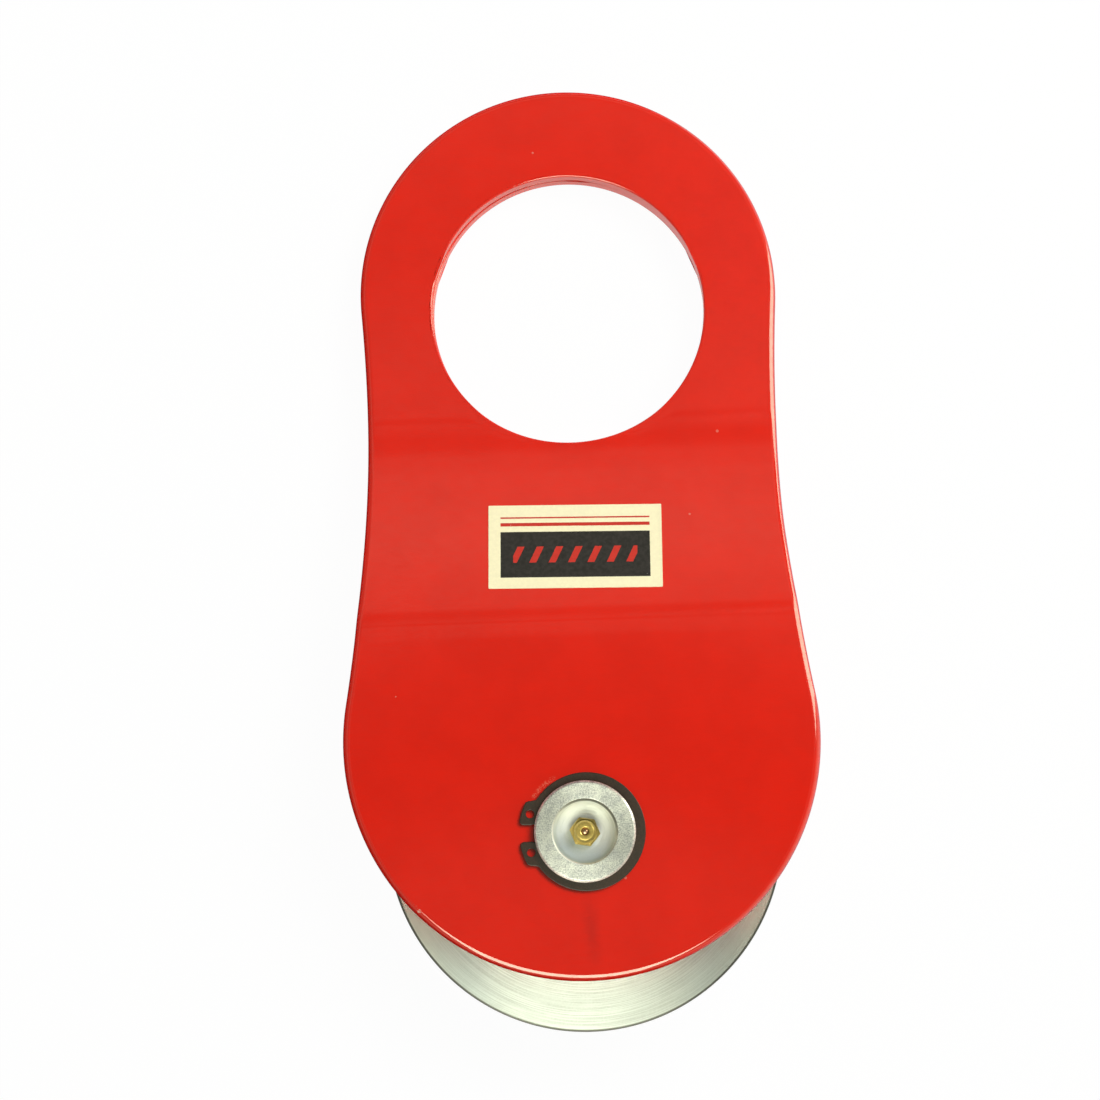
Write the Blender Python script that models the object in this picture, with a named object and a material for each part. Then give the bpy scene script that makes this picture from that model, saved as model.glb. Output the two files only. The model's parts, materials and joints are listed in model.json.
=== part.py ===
"""Snatch block: two joggled cheek plates with a shackle eye, on a headed pin that carries a rope sheave.

The block is modelled in its own plane: +X across the plates, +Y from the pin to the eye, +Z along the
pin, from the head at the back to the grease nipple at the front. Z = 0 is halfway between the plates.
At the end it is laid on its back, on the rim of the pin's head and the end of the eye.
"""

import math

import bmesh
import bpy

# Running and seating gaps
SEAT_GAP = 0.0003
RUNNING_GAP = 0.0002
PRESS_GAP = 0.00012

# Sheave
SHEAVE_R = 0.059
SHEAVE_W = 0.028
ROPE_GROOVE_R = 0.007
ROPE_GROOVE_DEPTH = 0.013
GROOVE_FLANK_ANGLE = math.radians(22)
HUB_R = 0.0255
RIM_BAND = 0.0165
RIM_RELIEF = 0.0008
WEB_DEPTH = 0.0025
WEB_SLOPE = 0.0015
SHEAVE_CHAMFER = 0.0008

# Bush and thrust washers
BUSH_WALL = 0.003
BUSH_GREASE_GROOVE_W = 0.004
BUSH_GREASE_GROOVE_DEPTH = 0.0008
WASHER_T = 0.0015
WASHER_R = 0.0215

# Axle pin
PIN_R = 0.015
PIN_CHAMFER = 0.0006
PIN_OVERHANG = 0.003
HEAD_R = 0.021
HEAD_T = 0.005
HEAD_CHAMFER = 0.001
RECESS_R = 0.0097
RECESS_FLOOR_R = 0.0089
RECESS_WALL = 0.005
RECESS_CONE_ANGLE = math.radians(60)
CHANNEL_R = 0.002
CHANNEL_RUN_ON = 0.0024
CROSS_HOLE_R = 0.0016

# Retaining ring
RING_T = 0.0015
RING_GROOVE_DEPTH = 0.0007
RING_GROOVE_PLAY = 0.00015
RING_BACK_W = 0.0035
RING_SIDE_W = 0.0026
RING_LUG_W = 0.0054
RING_LUG_ANGLE = math.radians(27)
RING_LUG_FADE = math.radians(9)
RING_GAP_HALF = 0.00245
RING_HOLE_R = 0.00125
RING_HOLE_ANGLE = math.radians(19.5)
RING_ROUND = 0.0002

# Cheek plates
PLATE_T = 0.006
EYE_HOLE_R = 0.0412
EYE_SIDE_WALL = 0.0218
EYE_CROWN_SHIFT = 0.005
EYE_MARGIN = 0.0006
SHEAVE_LOBE_R = 0.071
SHEAVE_LOBE_Y = 0.027
FLANK_R = 0.500
THROAT = 0.0023
JOGGLE_ANGLE = math.radians(17)
LOWER_BEND_R = 0.025
UPPER_BEND_R = 0.070
OUTER_ROUND = 0.002
EYE_ROUND = 0.0006
INNER_ROUND = 0.0005

# Grease nipple
SHANK_R = 0.003
SHANK_L = 0.006
SHANK_CHAMFER = 0.0004
HEX_ACROSS_FLATS = 0.008
HEX_H = 0.003
HEX_TURN = math.radians(-15)
HEX_ROOM = 0.0006
NECK_R = 0.0023
NECK_H = 0.001
NIPPLE_HEAD_R = 0.0033
NIPPLE_FACE_R = 0.0026
NIPPLE_BARB_H = 0.001
NIPPLE_BAND_H = 0.0007
NIPPLE_NOSE_H = 0.0013
BALL_R = 0.00125
BALL_SEAT_R = 0.0011
BALL_SEAT_DEPTH = 0.0005
BALL_GAP = 0.0001
LEDGE_R = 0.0007
LEDGE_H = 0.0008
SPRING_WIRE_R = 0.0002
SPRING_TURNS = 6

# Label
LABEL_W = 0.052
LABEL_H = 0.027
LABEL_T = 0.0003
LABEL_MARGIN = 0.0032
LABEL_CORNER_R = 0.0006
LABEL_TURN = math.radians(-1.3)

# Facets
SHEAVE_SEGMENTS = 56
GROOVE_SEGMENTS = 5
PIN_SEGMENTS = 38
NIPPLE_SEGMENTS = 24
HOLE_SEGMENTS = 12
LOBE_SEGMENTS = 35
FLANK_SEGMENTS = 8
EYE_SEGMENTS = 54
BEND_SEGMENTS = 5
ROUND_SEGMENTS = 2
RING_LUG_SEGMENTS = 4
RING_FADE_SEGMENTS = 5
RING_BACK_SEGMENTS = 14
RING_BORE_SEGMENTS = 20
CORNER_SEGMENTS = 3
COIL_SEGMENTS = 9

# Levels along the pin, measured from the middle of the block
HUB_FACE = SHEAVE_W / 2
WASHER_IN = HUB_FACE + SEAT_GAP
CHEEK_IN = WASHER_IN + WASHER_T + SEAT_GAP
CHEEK_OUT = CHEEK_IN + PLATE_T
RING_IN = CHEEK_OUT + SEAT_GAP
PIN_END = RING_IN + RING_T + PIN_OVERHANG
HEAD_FACE = -(CHEEK_OUT + SEAT_GAP)
HEAD_BACK = HEAD_FACE - HEAD_T
NIPPLE_SEAT_R = HEX_ACROSS_FLATS / 2 / math.cos(math.pi / 6) + HEX_ROOM
CONE_DEPTH = (RECESS_FLOOR_R - NIPPLE_SEAT_R) / math.tan(RECESS_CONE_ANGLE)
NIPPLE_SEAT = PIN_END - RECESS_WALL - CONE_DEPTH
BUSH_IN_R = PIN_R + RUNNING_GAP
BUSH_OUT_R = BUSH_IN_R + BUSH_WALL
SHEAVE_BORE_R = BUSH_OUT_R + PRESS_GAP
PLATE_BORE_R = PIN_R + RUNNING_GAP
GROOVE_BOTTOM_R = PIN_R - RING_GROOVE_DEPTH
RING_BORE_R = GROOVE_BOTTOM_R + RING_GROOVE_PLAY

# Heights on the grease nipple, above its seat
NECK_TOP = HEX_H + NECK_H
BAND_LOW = NECK_TOP + NIPPLE_BARB_H
BAND_HIGH = BAND_LOW + NIPPLE_BAND_H
NIPPLE_TOP = BAND_HIGH + NIPPLE_NOSE_H
NIPPLE_BORE_R = BALL_R + RUNNING_GAP
SPRING_R = NIPPLE_BORE_R - RUNNING_GAP - SPRING_WIRE_R
BALL_CENTRE = NIPPLE_TOP - BALL_SEAT_DEPTH - math.sqrt((BALL_R + BALL_GAP) ** 2 - BALL_SEAT_R**2)

# The joggle: two bends of the plate's middle surface with a straight between them, which would meet
# the flats at two corners without the bends
CHEEK_MID = CHEEK_IN + PLATE_T / 2
EYE_MID = SEAT_GAP / 2 + PLATE_T / 2
JOGGLE_START = SHEAVE_R + THROAT
JOGGLE_DROP = CHEEK_MID - EYE_MID
LOWER_BEND_L = LOWER_BEND_R * JOGGLE_ANGLE
UPPER_BEND_L = UPPER_BEND_R * JOGGLE_ANGLE
LOWER_TANGENT = LOWER_BEND_R * math.tan(JOGGLE_ANGLE / 2)
UPPER_TANGENT = UPPER_BEND_R * math.tan(JOGGLE_ANGLE / 2)
SLOPE_L = JOGGLE_DROP / math.sin(JOGGLE_ANGLE) - LOWER_TANGENT - UPPER_TANGENT
JOGGLE_L = LOWER_BEND_L + SLOPE_L + UPPER_BEND_L
UPPER_CORNER = JOGGLE_START + LOWER_TANGENT + JOGGLE_DROP / math.tan(JOGGLE_ANGLE)
JOGGLE_END = UPPER_CORNER + UPPER_TANGENT
EYE_HOLE_Y = UPPER_CORNER + EYE_MARGIN + EYE_HOLE_R
EYE_LOBE_R = EYE_HOLE_R + EYE_SIDE_WALL
# Folding shortens the blank by this much between the pin and the eye
FOLD_TAKES_UP = JOGGLE_START + JOGGLE_L - JOGGLE_END


def clear_scene():
    for obj in list(bpy.data.objects):
        bpy.data.objects.remove(obj, do_unlink=True)


def make_material(name, colour, roughness, metallic):
    material = bpy.data.materials.new(name)
    material.use_nodes = True
    shader = material.node_tree.nodes["Principled BSDF"]
    shader.inputs["Base Color"].default_value = (*colour, 1.0)
    shader.inputs["Roughness"].default_value = roughness
    shader.inputs["Metallic"].default_value = metallic
    return material


def link_object(name, data, material, parent):
    obj = bpy.data.objects.new(name, data)
    bpy.context.scene.collection.objects.link(obj)
    data.materials.append(material)
    obj.parent = parent
    return obj


def mesh_object(name, bm, material, parent, sharp=math.radians(35)):
    """Turns a bmesh into an object with smooth round faces and its normals outwards."""
    bmesh.ops.remove_doubles(bm, verts=bm.verts, dist=1e-7)
    bmesh.ops.recalc_face_normals(bm, faces=bm.faces)
    mesh = bpy.data.meshes.new(name)
    bm.to_mesh(mesh)
    bm.free()
    mesh.shade_smooth()
    mesh.set_sharp_from_angle(angle=sharp)
    return link_object(name, mesh, material, parent)


def arc(centre, radius, start, end, segments):
    """Points on an arc, the first included and the last left to what follows it."""
    step = (end - start) / segments
    turns = [start + step * i for i in range(segments)]
    return [(centre[0] + radius * math.cos(turn), centre[1] + radius * math.sin(turn)) for turn in turns]


def spread(start, end, segments):
    """Equal steps from start to end, both included."""
    return [start + (end - start) * i / segments for i in range(segments + 1)]


def turned(profile, segments):
    """Spins an (r, z) profile round Z: a closed one makes a ring, one that ends on the axis a rod."""
    bm = bmesh.new()
    verts = [bm.verts.new((r, 0, z)) for r, z in profile]
    edges = [bm.edges.new(pair) for pair in zip(verts, verts[1:])]
    if profile[0][0] > 0:
        edges.append(bm.edges.new((verts[-1], verts[0])))
    bmesh.ops.spin(
        bm,
        geom=verts + edges,
        axis=(0, 0, 1),
        cent=(0, 0, 0),
        angle=math.tau,
        steps=segments,
        use_merge=True,
    )
    bmesh.ops.remove_doubles(bm, verts=bm.verts, dist=1e-7)
    return bm


def inset(loop, distance):
    """Moves a loop's points to its left, which is where the metal is on an outline and on a hole alike."""
    moved = []
    for i, (x, y) in enumerate(loop):
        before, after = loop[i - 1], loop[(i + 1) % len(loop)]
        dx, dy = after[0] - before[0], after[1] - before[1]
        length = math.hypot(dx, dy)
        moved.append((x - dy / length * distance, y + dx / length * distance))
    return moved


def rounded_edge(thickness, low_round, high_round, segments):
    """(inset, height) steps up the edge of a sheet whose middle is at height 0."""
    low, high = -thickness / 2, thickness / 2
    steps = [(low_round, low), (0, low + low_round)]
    for i in range(segments + 1):
        turn = math.pi / 2 * i / segments
        steps.append((high_round * (1 - math.cos(turn)), high - high_round * (1 - math.sin(turn))))
    return steps


def sheet(loops):
    """A flat solid from (points, edge steps) loops: the outline runs anticlockwise, and holes clockwise."""
    bm = bmesh.new()
    low_edges, high_edges = [], []
    for points, steps in loops:
        rings = [[bm.verts.new((x, y, z)) for x, y in inset(points, d)] for d, z in steps]
        count = len(points)
        for lower, upper in zip(rings, rings[1:]):
            for i in range(count):
                j = (i + 1) % count
                bm.faces.new((lower[i], lower[j], upper[j], upper[i]))
        for ring, edges in ((rings[0], low_edges), (rings[-1], high_edges)):
            edges.extend(bm.edges.get((ring[i], ring[(i + 1) % count])) for i in range(count))
    for edges in (low_edges, high_edges):
        bmesh.ops.triangle_fill(bm, use_beauty=True, use_dissolve=False, edges=edges)
    return bm


def circle_hole(centre, radius, segments):
    """A hole's loop, clockwise."""
    return arc(centre, radius, math.tau, 0, segments)


def plate_outline():
    """The blank's outline: a lobe round the sheave, one round the eye and a hollow flank on each side."""
    low, high = SHEAVE_LOBE_Y, EYE_HOLE_Y + EYE_CROWN_SHIFT + FOLD_TAKES_UP
    low_reach, high_reach = SHEAVE_LOBE_R + FLANK_R, EYE_LOBE_R + FLANK_R
    span = high - low
    flank_y = low + (span**2 + low_reach**2 - high_reach**2) / (2 * span)
    flank_x = math.sqrt(low_reach**2 - (flank_y - low) ** 2)
    low_tangent = math.atan2(flank_y - low, flank_x)
    high_tangent = math.atan2(flank_y - high, flank_x)
    left_flank = arc((-flank_x, flank_y), FLANK_R, -high_tangent, -low_tangent, FLANK_SEGMENTS)
    right_start, right_end = math.pi + low_tangent, math.pi + high_tangent
    right_flank = arc((flank_x, flank_y), FLANK_R, right_start, right_end, FLANK_SEGMENTS)
    eye_lobe = arc((0, high), EYE_LOBE_R, high_tangent, math.pi - high_tangent, LOBE_SEGMENTS)
    sheave_lobe = arc((0, low), SHEAVE_LOBE_R, math.pi - low_tangent, math.tau + low_tangent, LOBE_SEGMENTS)
    return right_flank + eye_lobe + left_flank + sheave_lobe


def fold(s):
    """Where the blank's middle line goes at a distance s above the pin: (y, z, slope)."""
    along = s - JOGGLE_START
    left = JOGGLE_L - along
    if along <= 0:
        return s, CHEEK_MID, 0.0
    if left <= 0:
        return s - FOLD_TAKES_UP, EYE_MID, 0.0
    if along <= LOWER_BEND_L:
        slope = along / LOWER_BEND_R
        y = JOGGLE_START + LOWER_BEND_R * math.sin(slope)
        return y, CHEEK_MID - LOWER_BEND_R * (1 - math.cos(slope)), slope
    if left <= UPPER_BEND_L:
        slope = left / UPPER_BEND_R
        y = JOGGLE_END - UPPER_BEND_R * math.sin(slope)
        return y, EYE_MID + UPPER_BEND_R * (1 - math.cos(slope)), slope
    to_corner = UPPER_TANGENT + left - UPPER_BEND_L
    y = UPPER_CORNER - to_corner * math.cos(JOGGLE_ANGLE)
    return y, EYE_MID + to_corner * math.sin(JOGGLE_ANGLE), JOGGLE_ANGLE


def fold_blank(bm):
    """Cuts the blank across at the bends and folds it along them."""
    blank_end = JOGGLE_START + JOGGLE_L
    lower_cuts = spread(JOGGLE_START, JOGGLE_START + LOWER_BEND_L, BEND_SEGMENTS)
    upper_cuts = spread(blank_end - UPPER_BEND_L, blank_end, BEND_SEGMENTS)
    for cut in lower_cuts + upper_cuts:
        bmesh.ops.bisect_plane(
            bm,
            geom=bm.verts[:] + bm.edges[:] + bm.faces[:],
            dist=0.0002,
            plane_co=(0, cut, 0),
            plane_no=(0, 1, 0),
        )
    for vert in bm.verts:
        height = vert.co.z
        y, z, slope = fold(vert.co.y)
        vert.co.y = y + height * math.sin(slope)
        vert.co.z = z + height * math.cos(slope)
    bmesh.ops.triangulate(bm, faces=bm.faces)


def make_cheek_plate(name, side, material, parent):
    """side is 1 for the front plate and -1 for the rear one, which is its mirror image."""
    outer_edge = rounded_edge(PLATE_T, INNER_ROUND, OUTER_ROUND, ROUND_SEGMENTS)
    eye_edge = rounded_edge(PLATE_T, INNER_ROUND, EYE_ROUND, ROUND_SEGMENTS)
    bore_edge = [(0, -PLATE_T / 2), (0, PLATE_T / 2)]
    eye_centre = (0, EYE_HOLE_Y + FOLD_TAKES_UP)
    bm = sheet(
        [
            (plate_outline(), outer_edge),
            (circle_hole(eye_centre, EYE_HOLE_R, EYE_SEGMENTS), eye_edge),
            (circle_hole((0, 0), PLATE_BORE_R, PIN_SEGMENTS), bore_edge),
        ]
    )
    fold_blank(bm)
    for vert in bm.verts:
        vert.co.z *= side
    return mesh_object(name, bm, material, parent)


def rope_groove():
    """The groove's side at +Z, from its bottom to its mouth, as (r, z) points."""
    centre_r = SHEAVE_R - ROPE_GROOVE_DEPTH + ROPE_GROOVE_R
    end = math.pi / 2 - GROOVE_FLANK_ANGLE
    points = arc((centre_r, 0), ROPE_GROOVE_R, math.pi, math.pi - end, GROOVE_SEGMENTS)
    flank_r = centre_r - ROPE_GROOVE_R * math.cos(end)
    flank_z = ROPE_GROOVE_R * math.sin(end)
    points.append((flank_r, flank_z))
    points.append((SHEAVE_R, flank_z + (SHEAVE_R - flank_r) * math.tan(GROOVE_FLANK_ANGLE)))
    return points


def make_sheave(material, parent):
    rim_face = HUB_FACE - RIM_RELIEF
    web_face = HUB_FACE - WEB_DEPTH
    rim_in = SHEAVE_R - RIM_BAND
    side = [
        (SHEAVE_R, rim_face - SHEAVE_CHAMFER),
        (SHEAVE_R - SHEAVE_CHAMFER, rim_face),
        (rim_in, rim_face),
        (rim_in - WEB_SLOPE, web_face),
        (HUB_R + WEB_SLOPE, web_face),
        (HUB_R, HUB_FACE),
        (SHEAVE_BORE_R + SHEAVE_CHAMFER, HUB_FACE),
        (SHEAVE_BORE_R, HUB_FACE - SHEAVE_CHAMFER),
    ]
    half = rope_groove() + side
    profile = half + [(r, -z) for r, z in reversed(half[1:])]
    return mesh_object("sheave", turned(profile, SHEAVE_SEGMENTS), material, parent)


def make_bush(material, parent):
    groove_z = BUSH_GREASE_GROOVE_W / 2
    groove_r = BUSH_IN_R + BUSH_GREASE_GROOVE_DEPTH
    half = [(groove_r, groove_z), (BUSH_IN_R, groove_z), (BUSH_IN_R, HUB_FACE), (BUSH_OUT_R, HUB_FACE)]
    profile = half + [(r, -z) for r, z in reversed(half)]
    return mesh_object("sheave_bush", turned(profile, PIN_SEGMENTS), material, parent)


def make_thrust_washer(name, side, material, parent):
    near, far = side * WASHER_IN, side * (WASHER_IN + WASHER_T)
    bore = PIN_R + RUNNING_GAP
    profile = [(bore, near), (WASHER_R, near), (WASHER_R, far), (bore, far)]
    return mesh_object(name, turned(profile, PIN_SEGMENTS), material, parent)


def make_axle_pin(material, parent):
    groove_low = RING_IN - RING_GROOVE_PLAY
    groove_high = RING_IN + RING_T + RING_GROOVE_PLAY
    tap_r = SHANK_R + RUNNING_GAP
    tap_bottom = NIPPLE_SEAT - SHANK_L - SEAT_GAP
    profile = [
        (0, HEAD_BACK),
        (HEAD_R - HEAD_CHAMFER, HEAD_BACK),
        (HEAD_R, HEAD_BACK + HEAD_CHAMFER),
        (HEAD_R, HEAD_FACE),
        (PIN_R, HEAD_FACE),
        (PIN_R, groove_low),
        (GROOVE_BOTTOM_R, groove_low),
        (GROOVE_BOTTOM_R, groove_high),
        (PIN_R, groove_high),
        (PIN_R, PIN_END - PIN_CHAMFER),
        (PIN_R - PIN_CHAMFER, PIN_END),
        (RECESS_R, PIN_END),
        (RECESS_FLOOR_R, PIN_END - RECESS_WALL),
        (NIPPLE_SEAT_R, NIPPLE_SEAT),
        (tap_r, NIPPLE_SEAT),
        (tap_r, tap_bottom),
        (CHANNEL_R, tap_bottom),
        (CHANNEL_R, -CROSS_HOLE_R - CHANNEL_RUN_ON),
        (0, -CROSS_HOLE_R - CHANNEL_RUN_ON - CHANNEL_R),
    ]
    pin = mesh_object("axle_pin", turned(profile, PIN_SEGMENTS), material, parent)
    cut_cross_hole(pin, parent)
    return pin


def cut_cross_hole(pin, parent):
    """Lets grease from the pin's drilling out to the middle of the bush."""
    bm = bmesh.new()
    length = 2 * PIN_R
    bmesh.ops.create_cone(
        bm, cap_ends=True, segments=HOLE_SEGMENTS, radius1=CROSS_HOLE_R, radius2=CROSS_HOLE_R, depth=length
    )
    mesh = bpy.data.meshes.new("cross_hole_cutter")
    bm.to_mesh(mesh)
    bm.free()
    cutter = bpy.data.objects.new("cross_hole_cutter", mesh)
    bpy.context.scene.collection.objects.link(cutter)
    cutter.parent = parent
    cutter.location = (length / 2, 0, 0)
    cutter.rotation_euler = (0, math.pi / 2, 0)
    cutter.hide_render = True
    cutter.display_type = "WIRE"
    cut = pin.modifiers.new("cross_hole", "BOOLEAN")
    cut.operation = "DIFFERENCE"
    cut.solver = "EXACT"
    cut.object = cutter


def ring_outline():
    """A spring ring that is widest opposite its gap, with a lug on each side of the gap, which faces -X."""
    shift = (RING_BACK_W - RING_SIDE_W) / 2
    outer_r = RING_BORE_R + (RING_BACK_W + RING_SIDE_W) / 2
    lug_r = RING_BORE_R + RING_LUG_W

    def reach(turn):
        """The outer edge's distance from the pin's axis, at an angle from the middle of the gap."""
        ring = math.sqrt(outer_r**2 - (shift * math.sin(turn)) ** 2) - shift * math.cos(turn)
        fade = min(max((turn - RING_LUG_ANGLE) / RING_LUG_FADE, 0), 1)
        return lug_r + (ring - lug_r) * fade * fade * (3 - 2 * fade)

    back = RING_LUG_ANGLE + RING_LUG_FADE
    turns = spread(math.asin(RING_GAP_HALF / lug_r), RING_LUG_ANGLE, RING_LUG_SEGMENTS)
    turns += spread(RING_LUG_ANGLE, back, RING_FADE_SEGMENTS)[1:]
    turns += spread(back, math.pi, RING_BACK_SEGMENTS)[1:]
    bore_turns = spread(math.asin(RING_GAP_HALF / RING_BORE_R), math.pi, RING_BORE_SEGMENTS)
    low_outer = [(-reach(turn) * math.cos(turn), -reach(turn) * math.sin(turn)) for turn in turns]
    high_outer = [(x, -y) for x, y in reversed(low_outer[:-1])]
    high_bore = [(-RING_BORE_R * math.cos(turn), RING_BORE_R * math.sin(turn)) for turn in bore_turns]
    low_bore = [(x, -y) for x, y in reversed(high_bore[:-1])]
    return low_outer + high_outer + high_bore + low_bore


def make_retaining_ring(material, parent):
    edge = rounded_edge(RING_T, RING_ROUND, RING_ROUND, 1)
    hole_r = RING_BORE_R + RING_LUG_W / 2
    straight_edge = [(0, -RING_T / 2), (0, RING_T / 2)]
    loops = [(ring_outline(), edge)]
    for side in (1, -1):
        centre = (-hole_r * math.cos(RING_HOLE_ANGLE), side * hole_r * math.sin(RING_HOLE_ANGLE))
        loops.append((circle_hole(centre, RING_HOLE_R, HOLE_SEGMENTS), straight_edge))
    ring = mesh_object("retaining_ring", sheet(loops), material, parent)
    ring.location.z = RING_IN + RING_T / 2
    return ring


def hex_reach(angle, across_flats):
    """A hexagon's distance from its centre at an angle."""
    sixth = math.pi / 3
    return across_flats / 2 / math.cos((angle - HEX_TURN) % sixth - sixth / 2)


def make_grease_nipple(material, parent):
    """One turned body whose collar is a hexagon, hollow for the ball and its spring."""
    throat = NIPPLE_TOP - BALL_SEAT_DEPTH
    stations = [
        (LEDGE_R, -SHANK_L),
        (SHANK_R - SHANK_CHAMFER, -SHANK_L),
        (SHANK_R, -SHANK_L + SHANK_CHAMFER),
        (SHANK_R, SEAT_GAP),
        ("hex", SEAT_GAP),
        ("hex", HEX_H),
        (NECK_R, HEX_H),
        (NECK_R, NECK_TOP),
        (NIPPLE_HEAD_R, BAND_LOW),
        (NIPPLE_HEAD_R, BAND_HIGH),
        (NIPPLE_FACE_R, NIPPLE_TOP),
        (NIPPLE_BORE_R, NIPPLE_TOP),
        (BALL_SEAT_R, throat + BALL_SEAT_DEPTH / 2),
        (BALL_SEAT_R, throat),
        (NIPPLE_BORE_R, throat - (NIPPLE_BORE_R - BALL_SEAT_R)),
        (NIPPLE_BORE_R, -SHANK_L + LEDGE_H),
        (LEDGE_R, -SHANK_L + LEDGE_H),
    ]
    bm = bmesh.new()
    rings = []
    for reach, z in stations:
        ring = []
        for i in range(NIPPLE_SEGMENTS):
            angle = HEX_TURN + math.tau * i / NIPPLE_SEGMENTS
            r = hex_reach(angle, HEX_ACROSS_FLATS) if reach == "hex" else reach
            ring.append(bm.verts.new((r * math.cos(angle), r * math.sin(angle), z)))
        rings.append(ring)
    for lower, upper in zip(rings, rings[1:] + rings[:1]):
        for i in range(NIPPLE_SEGMENTS):
            j = (i + 1) % NIPPLE_SEGMENTS
            bm.faces.new((lower[i], lower[j], upper[j], upper[i]))
    nipple = mesh_object("grease_nipple", bm, material, parent)
    nipple.location.z = NIPPLE_SEAT
    return nipple


def make_nipple_ball(material, parent):
    """The check ball, shut against the edge of its hole."""
    bm = bmesh.new()
    bmesh.ops.create_uvsphere(bm, u_segments=16, v_segments=8, radius=BALL_R)
    ball = mesh_object("nipple_ball", bm, material, parent, sharp=math.pi)
    ball.location.z = NIPPLE_SEAT + BALL_CENTRE
    return ball


def make_nipple_spring(material, parent):
    """The coil between the nipple's ledge and the ball."""
    reach = BALL_R + BALL_GAP + SPRING_WIRE_R
    high = BALL_CENTRE - math.sqrt(reach**2 - SPRING_R**2)
    low = -SHANK_L + LEDGE_H + BALL_GAP + SPRING_WIRE_R
    steps = COIL_SEGMENTS * SPRING_TURNS
    curve = bpy.data.curves.new("nipple_spring", "CURVE")
    curve.dimensions = "3D"
    curve.bevel_depth = SPRING_WIRE_R
    curve.bevel_resolution = 0
    curve.use_fill_caps = True
    coil = curve.splines.new("POLY")
    coil.points.add(steps)
    for i, point in enumerate(coil.points):
        turn = math.tau * SPRING_TURNS * i / steps
        height = low + (high - low) * i / steps
        point.co = (SPRING_R * math.cos(turn), SPRING_R * math.sin(turn), height, 1)
    spring = link_object("nipple_spring", curve, material, parent)
    spring.location.z = NIPPLE_SEAT
    return spring


def make_label(material, parent):
    """A sticker on the slope of the front plate."""
    half_w, half_h = LABEL_W / 2 - LABEL_CORNER_R, LABEL_H / 2 - LABEL_CORNER_R
    outline = []
    corners = ((half_w, half_h), (-half_w, half_h), (-half_w, -half_h), (half_w, -half_h))
    for i, (x, y) in enumerate(corners):
        for turn in spread(math.pi / 2 * i, math.pi / 2 * (i + 1), CORNER_SEGMENTS):
            outline.append((x + LABEL_CORNER_R * math.cos(turn), y + LABEL_CORNER_R * math.sin(turn)))
    edge = [(0, -LABEL_T / 2), (0, LABEL_T / 2)]
    label = mesh_object("label", sheet([(outline, edge)]), material, parent)
    y, z, slope = fold(JOGGLE_START + LOWER_BEND_L + LABEL_MARGIN + LABEL_H / 2)
    lift = PLATE_T / 2 + SEAT_GAP + LABEL_T / 2
    label.location = (0, y + lift * math.sin(slope), z + lift * math.cos(slope))
    label.rotation_euler = (-slope, 0, LABEL_TURN)
    return label


def lay_down(frame, pieces):
    """Tips the block over the rim of its pin's head until the eye touches down, and centres its foot."""
    points = []
    for piece in pieces:
        if piece.type == "MESH":
            points += [piece.matrix_basis @ vert.co for vert in piece.data.vertices]
    rim_y = max(p.y for p in points if p.z < HEAD_BACK + HEAD_CHAMFER / 2)
    beyond = [p for p in points if p.y > rim_y + HEAD_CHAMFER]
    tilt = min(math.atan2(p.z - HEAD_BACK, p.y - rim_y) for p in beyond)
    frame.rotation_euler.x = -tilt
    laid_y = [p.y * math.cos(tilt) + p.z * math.sin(tilt) for p in points]
    laid_z = [p.z * math.cos(tilt) - p.y * math.sin(tilt) for p in points]
    frame.location = (0, -(min(laid_y) + max(laid_y)) / 2, -min(laid_z))


def main():
    clear_scene()
    frame = bpy.data.objects.new("block_frame", None)
    bpy.context.scene.collection.objects.link(frame)

    paint = make_material("red_paint", (0.70, 0.022, 0.012), 0.28, 0.0)
    zinc = make_material("zinc_plate", (0.70, 0.72, 0.68), 0.38, 1.0)
    black = make_material("black_spring_steel", (0.035, 0.032, 0.028), 0.45, 0.8)
    bronze = make_material("bronze", (0.55, 0.32, 0.14), 0.4, 1.0)
    brass = make_material("brass", (0.80, 0.58, 0.20), 0.25, 1.0)
    steel = make_material("polished_steel", (0.75, 0.75, 0.76), 0.12, 1.0)
    paper = make_material("cream_sticker", (0.90, 0.82, 0.58), 0.35, 0.0)

    pieces = [
        make_cheek_plate("rear_cheek_plate", -1, paint, frame),
        make_cheek_plate("front_cheek_plate", 1, paint, frame),
        make_axle_pin(zinc, frame),
        make_retaining_ring(black, frame),
        make_sheave(zinc, frame),
        make_bush(bronze, frame),
        make_thrust_washer("front_thrust_washer", 1, steel, frame),
        make_thrust_washer("rear_thrust_washer", -1, steel, frame),
        make_grease_nipple(brass, frame),
        make_nipple_ball(steel, frame),
        make_nipple_spring(steel, frame),
        make_label(paper, frame),
    ]
    lay_down(frame, pieces)


main()
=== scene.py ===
"""Snatch block with painted cheek plates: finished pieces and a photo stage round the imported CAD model.

The file is laid out as an add-on and is run as a script. Pieces are modelled in the block's own measures,
+X across the plates, +Y from the pin to the eye and +Z along the pin, and then laid into the row frame.
"""

import json
import math

import bmesh
import bpy
import numpy as np
from bpy.props import FloatProperty, FloatVectorProperty, IntProperty, PointerProperty
from mathutils import Matrix, Vector, noise
from mathutils.geometry import delaunay_2d_cdt

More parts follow.
